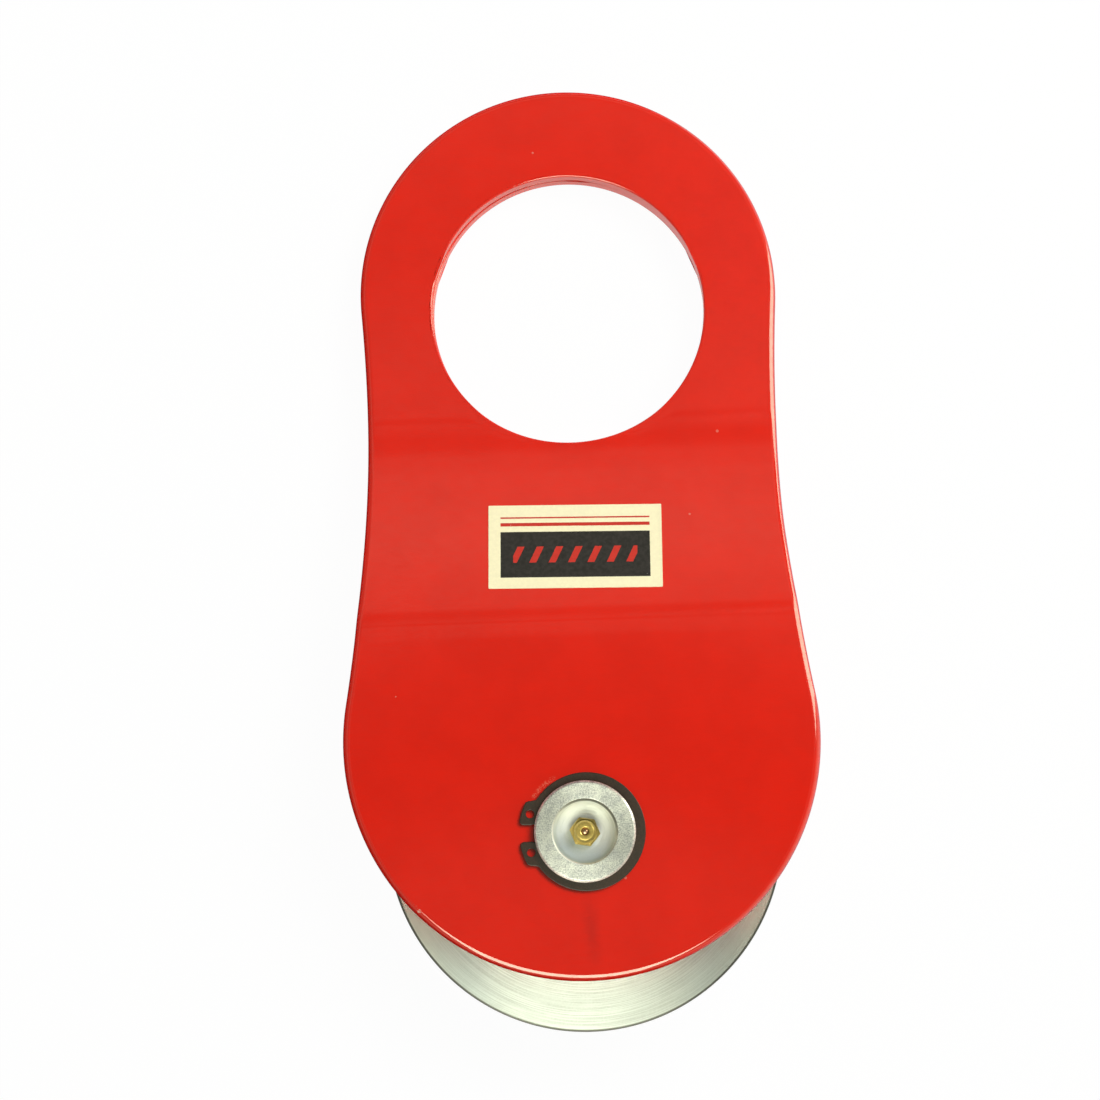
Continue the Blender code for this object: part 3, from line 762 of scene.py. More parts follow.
# Room round the nipple's hexagon, round its thread and under it, and how far the drilling passes the cross hole
HEXAGON_ROOM = 0.0006
THREAD_ROOM = 0.0002
UNDER_THREAD = 0.0003
DRILL_PAST = 0.0024

# The dimple that the lathe's centre leaves in the head, and the chamfer at the other end
DIMPLE_RADIUS, DIMPLE_DEPTH = 0.0012, 0.0006
END_CHAMFER = 0.0006


class SNATCH_OT_axle_pin(bpy.types.Operator):
    """Turns the headed pin and drills it for grease"""

    bl_idname = "snatch.axle_pin"
    bl_label = "Axle Pin"

    def execute(self, context):
        settings = context.scene.snatch_block
        sizes = settings.pin
        head_r = min(PIN_HIGH.x, PIN_HIGH.y)
        end = PIN_HIGH.z
        head_face = PIN_LOW.z + sizes.head_thickness
        groove_low, groove_high = RING_LOW.z - sizes.ring_play, RING_HIGH.z + sizes.ring_play
        floor = end - sizes.recess_wall
        seat_r = settings.nipple.flats / math.sqrt(3) + HEXAGON_ROOM
        seat = floor - (sizes.recess_floor - seat_r) / math.tan(FLOOR_LEAN)
        tap = settings.nipple.shank + THREAD_ROOM
        tap_end = NIPPLE_LOW.z - UNDER_THREAD
        drill_end = -sizes.cross_hole - DRILL_PAST
        groove_r = sizes.radius - sizes.ring_groove
        profile = filleted(
            [
                (0, PIN_LOW.z + DIMPLE_DEPTH),
                (DIMPLE_RADIUS, PIN_LOW.z, 0.0002),
                (head_r, PIN_LOW.z, 0.0012),
                (head_r, head_face, 0.0004),
                (sizes.radius, head_face, 0.0001),
                (sizes.radius, groove_low, 0.0001),
                (groove_r, groove_low, 0.00008),
                (groove_r, groove_high, 0.00008),
                (sizes.radius, groove_high, 0.0001),
                (sizes.radius, end - END_CHAMFER, 0.0003),
                (sizes.radius - END_CHAMFER, end, 0.0003),
                (sizes.recess_radius, end, 0.0002),
                (sizes.recess_floor + WALL_LEAN, end - LIP_DEPTH, 0.0003),
                (sizes.recess_floor - WALL_LEAN, seat + HOLLOW_HEIGHT, HOLLOW_ROUND),
                (seat_r, seat, 0.0005),
                (tap, seat, 0.0002),
                (tap, tap_end, 0.0001),
                (sizes.channel, tap_end, 0.0001),
                (sizes.channel, drill_end, 0.0001),
                (0, drill_end - sizes.channel),
            ],
            0.0002,
            4,
        )
        bm = turned(supported(profile, gap=0.0003), sizes.segments)
        pin = finished("pin_turned", bm, zinc_plate(settings.finishes))
        self.drill(pin, sizes)
        stands_for(pin, "axle_pin")
        return {"FINISHED"}

    def drill(self, pin, sizes):
        """Cuts the cross hole from the drilling out to the bush."""
        bm = bmesh.new()
        bmesh.ops.create_cone(
            bm, cap_ends=True, segments=32, radius1=sizes.cross_hole, radius2=sizes.cross_hole, depth=2 * sizes.radius
        )
        bm.transform(Matrix.Translation((sizes.radius, 0, 0)) @ Matrix.Rotation(math.pi / 2, 4, "Y"))
        cutter = finished("cross_hole_cutter", bm, pin.data.materials[0])
        cut = pin.modifiers.new("cross_hole", "BOOLEAN")
        cut.operation = "DIFFERENCE"
        cut.solver = "EXACT"
        cut.object = cutter
        bpy.context.view_layer.update()
        graph = bpy.context.evaluated_depsgraph_get()
        mesh = bpy.data.meshes.new_from_object(pin.evaluated_get(graph))
        pin.modifiers.clear()
        pin.data = mesh
        bpy.data.objects.remove(cutter)


# Retaining ring


# Rounding of the ring's sharp corners at its gap, and how far a loop turns at a sharp corner
LUG_ROUND = 0.0017
SHARP_TURN = math.radians(40)


def ring_outline(sizes, bore):
    """A spring ring that is widest opposite its gap, with a lug on each side of the gap, which faces -X."""
    shift = (sizes.back_width - sizes.side_width) / 2
    outer = bore + (sizes.back_width + sizes.side_width) / 2
    lug = bore + sizes.lug_width

    def reach(turn):
        """The outer edge's distance from the pin's axis, at an angle from the middle of the gap."""
        ring = math.sqrt(outer**2 - (shift * math.sin(turn)) ** 2) - shift * math.cos(turn)
        return lug + (ring - lug) * gentle((turn - sizes.lug_angle) / sizes.lug_fade)

    back = sizes.lug_angle + sizes.lug_fade
    turns = spread(math.asin(sizes.gap_half / lug), sizes.lug_angle, 14)
    turns += spread(sizes.lug_angle, back, 18)[1:]
    turns += spread(back, math.pi, 110)[1:]
    bore_turns = spread(math.asin(sizes.gap_half / bore), math.pi, 110)
    low_outer = [(-reach(turn) * math.cos(turn), -reach(turn) * math.sin(turn)) for turn in turns]
    high_outer = [(x, -y) for x, y in reversed(low_outer[:-1])]
    high_bore = [(-bore * math.cos(turn), bore * math.sin(turn)) for turn in bore_turns]
    low_bore = [(x, -y) for x, y in reversed(high_bore[:-1])]
    return rounded_ends(low_outer + high_outer + high_bore + low_bore, LUG_ROUND)


def rounded_ends(loop, radius):
    """Rounds the sharp corners of a loop, in place of the points that lie near them."""
    loop = [Vector(point) for point in loop]
    ahead = loop[1:] + loop[:1]
    behind = loop[-1:] + loop[:-1]
    turns = [(here - before).angle(after - here) for before, here, after in zip(behind, loop, ahead)]
    corners = [i for i, turn in enumerate(turns) if turn > SHARP_TURN]
    points = []
    for i, here in enumerate(loop):
        if i in corners:
            start = here + (behind[i] - here).normalized() * radius
            end = here + (ahead[i] - here).normalized() * radius
            points += rounded(start, here, end, 7)
        elif min((here - loop[corner]).length for corner in corners) > radius * 1.05:
            points.append(tuple(here))
    return points


class SNATCH_OT_retaining_ring(bpy.types.Operator):
    """Stamps the retaining ring that holds the front plate on the pin"""

    bl_idname = "snatch.retaining_ring"
    bl_label = "Retaining Ring"

    def execute(self, context):
        settings = context.scene.snatch_block
        sizes = settings.ring
        thickness = RING_HIGH.z - RING_LOW.z
        bore = settings.pin.radius - settings.pin.ring_groove + settings.pin.ring_play
        steps = edge_steps(thickness, sizes.edge, sizes.edge, steps=3, support=0.00008)
        hole_steps = edge_steps(thickness, 0.0001, 0.0001, steps=2, support=0.00006)
        middle = bore + sizes.lug_width / 2
        loops, holes = [(ring_outline(sizes, bore), steps)], []
        for side in (1, -1):
            centre = (-middle * math.cos(sizes.hole_angle), side * middle * math.sin(sizes.hole_angle))
            loops.append((circle_hole(centre, sizes.hole_radius, 40), hole_steps))
            holes.append((centre, sizes.hole_radius))
        bm = sheet(loops, holes, [], 0.001)
        bmesh.ops.translate(bm, verts=bm.verts, vec=(0, 0, (RING_HIGH.z + RING_LOW.z) / 2))
        piece = finished("ring_stamped", bm, black_steel(settings.finishes))
        stands_for(piece, "retaining_ring")
        return {"FINISHED"}


# Grease nipple


# The nipple's top above its seat in the recess, and its hexagon's gap over that seat
NIPPLE_HEIGHT = 0.007
SEAT_GAP = 0.0003

# The round end faces of the hexagon, as a share of its flats
CHAMFER = 0.94

# Room round the ball, the depth of its mouth, and the hole and the floor below the spring
BALL_ROOM = 0.0002
MOUTH_DEPTH = 0.0005
GREASE_HOLE = 0.0007
FLOOR_THICKNESS = 0.0008

# Points on each turn of the spring, and how much of its height its flattened ends give up
COIL_STEPS = 32
CLOSED_ENDS = 0.05


def hexagon_reach(turn, flats, start):
    """A hexagon's distance from its centre at an angle."""
    sixth = math.pi / 3
    return flats / 2 / math.cos((turn - start) % sixth - sixth / 2)


class SNATCH_OT_grease_nipple(bpy.types.Operator):
    """Turns the grease nipple and puts in its ball and spring"""

    bl_idname = "snatch.grease_nipple"
    bl_label = "Grease Nipple"

    def execute(self, context):
        settings = context.scene.snatch_block
        sizes = settings.nipple
        brass = nipple_brass(settings.finishes)
        steel = bright_steel(settings.finishes)
        stands_for(self.make_body(sizes, brass), "grease_nipple")
        stands_for(self.make_ball(greased_steel(settings.finishes)), "nipple_ball")
        stands_for(self.make_spring(sizes, steel), "nipple_spring")
        return {"FINISHED"}

    def make_body(self, sizes, material):
        """Turns the shank, collar and head round one bore, and mills the collar to a hexagon."""
        top, end = NIPPLE_HIGH.z, NIPPLE_LOW.z
        seat = top - NIPPLE_HEIGHT
        under, over = seat + SEAT_GAP, seat + sizes.hexagon_height
        corner, chamfer = sizes.flats / math.sqrt(3), sizes.flats / 2 * CHAMFER
        bore = BALL_RADIUS + BALL_ROOM
        throat = top - MOUTH_DEPTH
        hexagon = [(corner, under + 0.0003), (corner + 0.0001, under + 0.0005)]
        hexagon += [(corner + 0.0001, over - 0.0006), (corner, over - 0.00045), (chamfer, over)]
        shank = filleted(
            [
                (GREASE_HOLE, end),
                (sizes.shank, end, 0.0004),
                (sizes.shank, under, 0.0001),
                (chamfer, under, 0),
            ],
            0.0001,
            4,
        )
        head = filleted(
            [
                (sizes.neck, over, 0.0003),
                (sizes.neck, over + 0.001, 0.0003),
                (sizes.head, over + 0.002, 0.0002),
                (sizes.head, over + 0.0027, 0.0002),
                (sizes.face, top, 0.0003),
                (bore, top, 0.0001),
                (sizes.seat, throat + 0.00025, 0.0001),
                (sizes.seat, throat, 0.00005),
                (bore, throat - (bore - sizes.seat), 0.0001),
                (bore, end + FLOOR_THICKNESS, 0.0001),
                (GREASE_HOLE, end + FLOOR_THICKNESS, 0),
            ],
            0.0001,
            4,
        )

        def shape(r, z, turn):
            """Cuts the collar to a hexagon and leaves everything else round."""
            if under - 1e-6 < z < over + 1e-6 and r > sizes.shank + 0.0001:
                return min(r, hexagon_reach(turn, sizes.flats, sizes.turn))
            return r

        profile = shank[:-1] + [(chamfer, under)] + hexagon + head
        return finished("nipple_turned", turned(profile, sizes.segments, shape), material, sharp=28)

    def make_ball(self, material):
        """A ball with the bright ring that its seat has worn on it."""
        depth, at, width = 0.000012, 0.5, 0.06
        centre = (BALL_HIGH.z + BALL_LOW.z) / 2
        profile = []
        for turn in spread(-math.pi / 2, math.pi / 2, 48):
            radius = BALL_RADIUS - depth * math.exp(-(((turn - at) / width) ** 2))
            profile.append((radius * abs(math.cos(turn)), centre + radius * math.sin(turn)))
        profile[0], profile[-1] = (0, profile[0][1]), (0, profile[-1][1])
        return finished("ball_ground", turned(profile, 64), material, sharp=180)

    def make_spring(self, sizes, material):
        """A coil with closed ends."""
        radius = SPRING_HIGH.x - sizes.wire
        low, high = SPRING_LOW.z + sizes.wire, SPRING_HIGH.z - sizes.wire
        steps = COIL_STEPS * sizes.coils
        curve = bpy.data.curves.new("spring_coil", "CURVE")
        curve.dimensions = "3D"
        curve.bevel_depth = sizes.wire
        curve.bevel_resolution = 3
        curve.use_fill_caps = True
        coil = curve.splines.new("POLY")
        coil.points.add(steps)
        for i, point in enumerate(coil.points):
            share = i / steps
            rise = clamped(share + CLOSED_ENDS * math.sin(math.tau * share))
            turn = math.tau * sizes.coils * share
            point.co = (radius * math.cos(turn), radius * math.sin(turn), low + (high - low) * rise, 1)
        wire = placed("spring_coil", curve)
        bpy.context.view_layer.update()
        mesh = bpy.data.meshes.new_from_object(wire.evaluated_get(bpy.context.evaluated_depsgraph_get()))
        bm = bmesh.new()
        bm.from_mesh(mesh)
        bpy.data.objects.remove(wire)
        return finished("spring_wound", bm, material)


# Sticker


# Spacing of the film's points, and its glue
FILM_STEP = 0.0006
GLUE = 0.00003

# Heights of the fold by the loose edge, of the wrinkle in the lower corner and of the dust under the film
FOLD = 0.00007
WRINKLE = 0.00006
DUST = 0.000012


def sticker_outline(half_w, half_h, corner):
    """A rectangle with rounded corners, anticlockwise."""
    rounds = []
    for quarter, (x, y) in enumerate(((half_w, half_h), (-half_w, half_h), (-half_w, -half_h), (half_w, -half_h))):
        centre = (x - math.copysign(corner, x), y - math.copysign(corner, y))
        rounds.append(arc(centre, corner, quarter * math.pi / 2, (quarter + 1) * math.pi / 2, 6))
    outline = []
    for start, end in zip(rounds, rounds[1:] + rounds[:1]):
        a, b = Vector(start[-1]), Vector(end[0])
        side = spread(0, 1, round((b - a).length / FILM_STEP))[1:-1]
        outline += start + [tuple(a.lerp(b, t)) for t in side]
    return outline


class SNATCH_OT_sticker(bpy.types.Operator):
    """Cuts the printed film and lays it on the front plate's slope"""

    bl_idname = "snatch.sticker"
    bl_label = "Sticker"

    def execute(self, context):
        settings = context.scene.snatch_block
        sizes = settings.sticker
        half_w, half_h = sizes.width / 2, sizes.height / 2
        edge = [(0, -sizes.film / 2), (0, sizes.film / 2)]
        columns, rows = round(sizes.width / FILM_STEP), round(sizes.height / FILM_STEP)
        grid = [(x, y) for x in spread(-half_w, half_w, columns) for y in spread(-half_h, half_h, rows)]
        bm = sheet([(sticker_outline(half_w, half_h, sizes.corner), edge)], [], grid, FILM_STEP / 2)
        print_map = bm.loops.layers.uv.new("print")
        for face in bm.faces:
            for loop in face.loops:
                place = loop.vert.co
                loop[print_map].uv = (place.x / sizes.width + 0.5, place.y / sizes.height + 0.5)
        joggle = Joggle(settings.plates)
        middle = joggle.start + joggle.low_bend + sizes.margin + half_h
        y, z, slope = joggle.place(middle)
        lift = joggle.half + GLUE + sizes.film / 2
        for vert in bm.verts:
            vert.co.z += self.stands_off(sizes, vert.co.x, vert.co.y)
        place = Matrix.Translation((0, y + lift * math.sin(slope), z + lift * math.cos(slope)))
        bm.transform(place @ Matrix.Rotation(-slope, 4, "X") @ Matrix.Rotation(sizes.turn, 4, "Z"))
        piece = finished("sticker_film", bm, printed_film(settings.finishes, sizes), sharp=60)
        stands_for(piece, "label")
        return {"FINISHED"}

    def stands_off(self, sizes, x, y):
        """How far the film stands off the paint: a loose right edge, a wrinkle by it and trapped dust."""
        from_edge = sizes.width / 2 - x
        crease = sizes.lift * max(0, 1 - from_edge / sizes.crease) ** 1.2
        fold = FOLD * math.exp(-(((from_edge - sizes.crease * 1.5) / 0.0005) ** 2))
        along = 0.6 + 0.4 * noise.noise(Vector((0, y * 160, 3)))
        corner = math.exp(-((from_edge - 0.004) ** 2 + (y + sizes.height / 2 - 0.003) ** 2) / 0.0022**2)
        wrinkle = WRINKLE * corner * (1 + math.sin((x + y) * 5200)) / 2
        ripple = DUST * (1 + noise.noise(Vector((x, y, 0)) * 220))
        return (crease + fold) * along + wrinkle + ripple


# Shader tools


def tone(colour, factor):
    """A colour made lighter or darker."""
    return tuple(min(1.0, channel * factor) for channel in colour)


class Nodes:
    """Adds nodes to one shader tree."""

    def __init__(self, tree):
        self.tree = tree

    def feed(self, socket, value):
        """Links a socket, or sets it to a plain value."""
        if isinstance(value, bpy.types.NodeSocket):
            self.tree.links.new(value, socket)
        else:
            socket.default_value = value

    def add(self, kind, values=None, **settings):
        """Adds a node. values is {input name or number: a value or the socket that feeds it}."""
        node = self.tree.nodes.new(kind)
        for name, value in settings.items():
            setattr(node, name, value)
        for key, value in (values or {}).items():
            self.feed(node.inputs[key], value)
        return node

    def group(self, effect_group, **values):
        """Places an effect and sets its inputs."""
        return self.add("ShaderNodeGroup", values, node_tree=effect_group()).outputs

    # Numbers

    def math(self, operation, *values):
        """The result of a Math node, or of a row of them where there are more than two values."""
        if len(values) > 2:
            values = (self.math(operation, *values[:-1]), values[-1])
        return self.add("ShaderNodeMath", dict(enumerate(values)), operation=operation).outputs[0]

    def times(self, *values):
        """The product of the values."""
        return self.math("MULTIPLY", *values)

    def plus(self, *values):
        """The sum of the values."""
        return self.math("ADD", *values)

    def greater(self, a, b):
        """The greater of two values."""
        return self.math("MAXIMUM", a, b)

    def off(self, value, middle=0.0):
        """How far a value is from its middle."""
        return self.math("ABSOLUTE", self.math("SUBTRACT", value, middle))

    def range(self, value, low, high, to_low=0.0, to_high=1.0, smooth=True):
        """Turns low to high into to_low to to_high, and keeps to those ends."""
        kind = "SMOOTHSTEP" if smooth else "LINEAR"
        values = {"Value": value, "From Min": low, "From Max": high, "To Min": to_low, "To Max": to_high}
        return self.add("ShaderNodeMapRange", values, interpolation_type=kind).outputs["Result"]

    def between(self, share, low, high):
        """Turns a share of 0 to 1 evenly into low to high."""
        return self.range(share, 0, 1, low, high, smooth=False)

    def band(self, value, start, full, fade, end):
        """1 from full to fade, and 0 before start and after end."""
        return self.times(self.range(value, start, full), self.range(value, fade, end, 1, 0))

    # Places and directions

    def block_place(self):
        """Where a point is in the block's own axes, which move with the piece."""
        coordinates = self.add("ShaderNodeTexCoord").outputs["Object"]
        values = {"Vector": coordinates, "Location": BLOCK.translation, "Rotation": BLOCK.to_euler()}
        return self.add("ShaderNodeMapping", values, vector_type="TEXTURE").outputs["Vector"]

    def split(self, place):
        """The three numbers of a place or a colour."""
        return self.add("ShaderNodeSeparateXYZ", {0: place}).outputs

    def join(self, x, y, z=0.0):
        """A place from its three numbers."""
        return self.add("ShaderNodeCombineXYZ", {0: x, 1: y, 2: z}).outputs[0]

    def apart(self, x, y, centre=(0.0, 0.0)):
        """How far a point is from the pin's axis, or from another upright line."""
        values = {0: self.join(x, y), 1: (*centre, 0.0)}
        return self.add("ShaderNodeVectorMath", values, operation="DISTANCE").outputs["Value"]

    def dot(self, direction, axis):
        """How far one direction goes along another."""
        return self.add("ShaderNodeVectorMath", {0: direction, 1: axis}, operation="DOT_PRODUCT").outputs["Value"]

    def towards(self, x, y, way):
        """How far a point lies from the pin in one direction."""
        return self.dot(self.join(x, y), (*way, 0.0))

    def round_the_axis(self):
        """The direction in which the lathe turned a piece."""
        return self.add("ShaderNodeTangent", direction_type="UV_MAP", uv_map="lathe").outputs[0]

    # Looks

    def mix(self, share, a, b, blend="MIX"):
        """Mixes two colours."""
        node = self.add("ShaderNodeMix", {"Factor": share}, data_type="RGBA", blend_type=blend)
        for socket, value in ((node.inputs[6], a), (node.inputs[7], b)):
            self.feed(socket, value if isinstance(value, bpy.types.NodeSocket) else (*value, 1.0))
        return node.outputs[2]

    def noise(self, place, scale, detail=2.0, roughness=0.5):
        """Cloudy values round 0.5, scale of them to a metre."""
        values = {"Vector": place, "Scale": scale, "Detail": detail, "Roughness": roughness}
        return self.add("ShaderNodeTexNoise", values).outputs["Fac"]

    def bump(self, height, strength, distance):
        """The normal of a surface with a fine relief."""
        values = {"Height": height, "Strength": strength, "Distance": distance}
        return self.add("ShaderNodeBump", values).outputs["Normal"]


class MaterialNodes(Nodes):
    """A new material's tree, which ends in one Principled shader."""

    def __init__(self, name):
        self.material = bpy.data.materials.new(name)
        self.material.use_nodes = True
        super().__init__(self.material.node_tree)

    def shaded(self, **values):
        """Sets or links the shader's sockets by name, and gives the finished material."""
        shader = self.tree.nodes["Principled BSDF"]
        for name, value in values.items():
            self.feed(shader.inputs[name.replace("_", " ")], value)
        return self.material


def effect(**inputs):
    """Makes an effect's group out of a function that adds its nodes. The group is built on its first use.

    The function is given the node helper and the group's inputs, and returns {output name: socket}.
    """

    def wrap(build):
        def effect_group():
            ready = bpy.data.node_groups.get(build.__name__)
            if ready:
                return ready
            tree = bpy.data.node_groups.new(build.__name__, "ShaderNodeTree")
            for label, default in inputs.items():
                socket = tree.interface.new_socket(label, in_out="INPUT", socket_type="NodeSocketFloat")
                socket.default_value = default
            nodes = Nodes(tree)
            results = build(nodes, nodes.add("NodeGroupInput").outputs)
            for label in results:
                tree.interface.new_socket(label, in_out="OUTPUT", socket_type="NodeSocketFloat")
            nodes.add("NodeGroupOutput", results)
            return tree

        return effect_group

    return wrap


@effect(Size=0.004, Amount=0.5)
def dust(nodes, given):
    """Scattered specks."""
    scale = nodes.math("DIVIDE", 1.0, given["Size"])
    cells = nodes.add("ShaderNodeTexVoronoi", {"Vector": nodes.block_place(), "Scale": scale}, feature="F1").outputs
    chance, size, _ = nodes.split(cells["Color"])
    wanted = nodes.math("LESS_THAN", chance, nodes.times(given["Amount"], 0.5))
    near = nodes.math("LESS_THAN", cells["Distance"], nodes.between(size, 0.012, 0.045))
    return {"Specks": nodes.times(wanted, near)}


@effect(Size=0.0004)
def plating_grain(nodes, given):
    """The mottled grain of plated or stamped steel."""
    place = nodes.block_place()
    scale = nodes.math("DIVIDE", 1.0, given["Size"])
    fine = nodes.noise(place, scale, 3.0, 0.65)
    coarse = nodes.noise(place, nodes.times(scale, 0.16))
    grain = nodes.plus(nodes.times(fine, 0.7), nodes.times(coarse, 0.3))
    return {"Grain": nodes.range(grain, 0.35, 0.65), "Height": fine}


@effect(Spacing=0.0002, Drift=0.5)
def turning_marks(nodes, given):
    """The fine rings that a lathe tool leaves, and the wider bands among them."""
    x, y, z = nodes.split(nodes.block_place())
    tool = nodes.math("DIVIDE", nodes.plus(nodes.apart(x, y), z), given["Spacing"])
    drift = nodes.times(nodes.math("ARCTAN2", y, x), given["Drift"])
    marks = nodes.noise(nodes.join(tool, drift), 1.0, 2.0, 0.6)
    bands = nodes.noise(nodes.join(nodes.times(tool, 0.11), drift, 3.0), 1.0, 2.0, 0.6)
    return {"Marks": marks, "Bands": bands}


# Finishes


# Marks and a painted shade streak on the front plate's paint, in the block's own metres
SHADE_STREAK_LEAN = 0.03
SHADE_STREAK_HALF_WIDTH = 0.0040
RUB_RADIUS = 0.0183
RUB_TURN = math.radians(131)
CHIP_PLACE, CHIP_RADIUS = (-0.0496, -0.0218), 0.0007

# Of all the paint, only the front plate's round the pin is higher than this
FRONT_FROM = 0.015

WHITE = (1.0, 1.0, 1.0)


def painted_shade_streak(nodes, place, x, y):
    """A dark streak of painted shade that runs down from the pin."""
    width = nodes.range(nodes.off(nodes.plus(x, nodes.times(y, SHADE_STREAK_LEAN))), 0.0, SHADE_STREAK_HALF_WIDTH, 1, 0)
    patches = nodes.range(nodes.noise(place, 300.0, 3.0), 0.3, 0.6, 0.10, 0.24)
    return nodes.times(width, nodes.band(y, -0.043, -0.030, -0.026, -0.016), patches)


def rubbed_by_ring(nodes, x, y):
    """Paint that is rubbed through beside the retaining ring, at its upper left."""
    round_it = nodes.range(nodes.off(nodes.math("ARCTAN2", y, x), RUB_TURN), 0.20, 0.27, 1, 0)
    beside = nodes.range(nodes.off(nodes.apart(x, y), RUB_RADIUS), 0.0002, 0.0010, 1, 0)
    return nodes.times(round_it, beside)


def red_paint(finishes, plates):
    """Gloss enamel with orange peel, a chip, rubbed marks and a painted shade streak by the pin, duller paint darkened
    with painted shade on the cut edges, and painted reflections on the eye's walls.
    """
    nodes = MaterialNodes("red_enamel")
    place = nodes.block_place()
    x, y, z = nodes.split(place)
    front = nodes.math("GREATER_THAN", z, FRONT_FROM)
    dots = nodes.range(nodes.noise(place, 2600.0, 3.0, 0.75), 0.46, 0.60)
    specks = nodes.group(dust, Size=0.011, Amount=0.5)
    clouds = nodes.range(nodes.noise(place, 60.0, 3.0, 0.6), 0.3, 0.7)
    base = nodes.mix(clouds, tone(finishes.paint, 0.93), finishes.paint)
    # Painted shade: a dark streak below the pin
    base = nodes.mix(painted_shade_streak(nodes, place, x, y), base, (0.16, 0.012, 0.012))
    base = nodes.mix(nodes.times(rubbed_by_ring(nodes, x, y), dots, front, 0.55), base, (0.86, 0.26, 0.16))
    base = nodes.mix(nodes.times(specks["Specks"], 0.4), base, (0.80, 0.36, 0.28))
    ragged = nodes.plus(nodes.apart(x, y, CHIP_PLACE), nodes.between(dots, 0, 0.0006))
    chip = nodes.times(nodes.range(ragged, CHIP_RADIUS * 0.6, CHIP_RADIUS, 0.8, 0), front)
    base = nodes.mix(chip, base, (0.88, 0.62, 0.48))

    # Only the flats, the slopes, the rounded edges and what faces right carry the full gloss
    normal = nodes.add("ShaderNodeTexCoord").outputs["Normal"]
    upright = nodes.off(nodes.dot(normal, BLOCK.col[2].xyz))
    faces_right = nodes.range(nodes.dot(normal, (1, 0, 0)), 0.25, 0.50)
    right_gloss = nodes.times(faces_right, nodes.range(upright, 0.05, 0.60, 0.20, 0.90))
    glossy = nodes.greater(nodes.range(upright, 0.68, 0.88, 0.03, 1.0), right_gloss)
    even = nodes.range(nodes.noise(nodes.join(nodes.times(x, 0.3), y, z), 900.0, 3.0, 0.6), 0.30, 0.65, 0.86, 1.04)

    # The cut edges are painted darker as painted shade and scored from side to side, and the walls of the eye, which
    # mirror each other, are painted lighter as a painted reflection
    from_eye = nodes.apart(x, y, (0.0, Joggle(plates).hole_y))
    in_eye = nodes.range(from_eye, plates.hole_radius + 0.002, plates.hole_radius + 0.004, 1, 0)
    cut_edge = nodes.times(nodes.range(upright, 0.85, 0.30), nodes.between(in_eye, 1.0, 0.15))
    scores = nodes.noise(nodes.join(x, y, nodes.times(z, 0.06)), 1300.0, 2.0, 0.6)
    base = nodes.mix(nodes.times(cut_edge, nodes.range(scores, 0.4, 0.7, 0.3, 0.6)), base, (0.30, 0.006, 0.003))
    # Painted reflection: the eye's walls are lightened towards a bright salmon
    eye_wall_painted_reflection = nodes.times(in_eye, nodes.range(upright, 0.6, 0.3), 0.8)
    base = nodes.mix(eye_wall_painted_reflection, base, (0.98, 0.115, 0.055))

    peel = nodes.noise(place, 620.0, 2.0, 0.45)
    swell = nodes.noise(place, 150.0, 1.0, 0.4)
    height = nodes.plus(nodes.times(peel, 0.35), swell, nodes.times(cut_edge, scores, 1.5))
    return nodes.shaded(
        Base_Color=base,
        Roughness=nodes.range(nodes.noise(place, 200.0, 2.0), 0.2, 0.8, 0.34, 0.44),
        IOR=1.03,
        Coat_Weight=nodes.greater(nodes.times(glossy, even), nodes.times(in_eye, 0.42)),
        Coat_Roughness=0.05,
        Coat_IOR=2.05,
        Normal=nodes.bump(height, 0.35, 0.00012),
    )


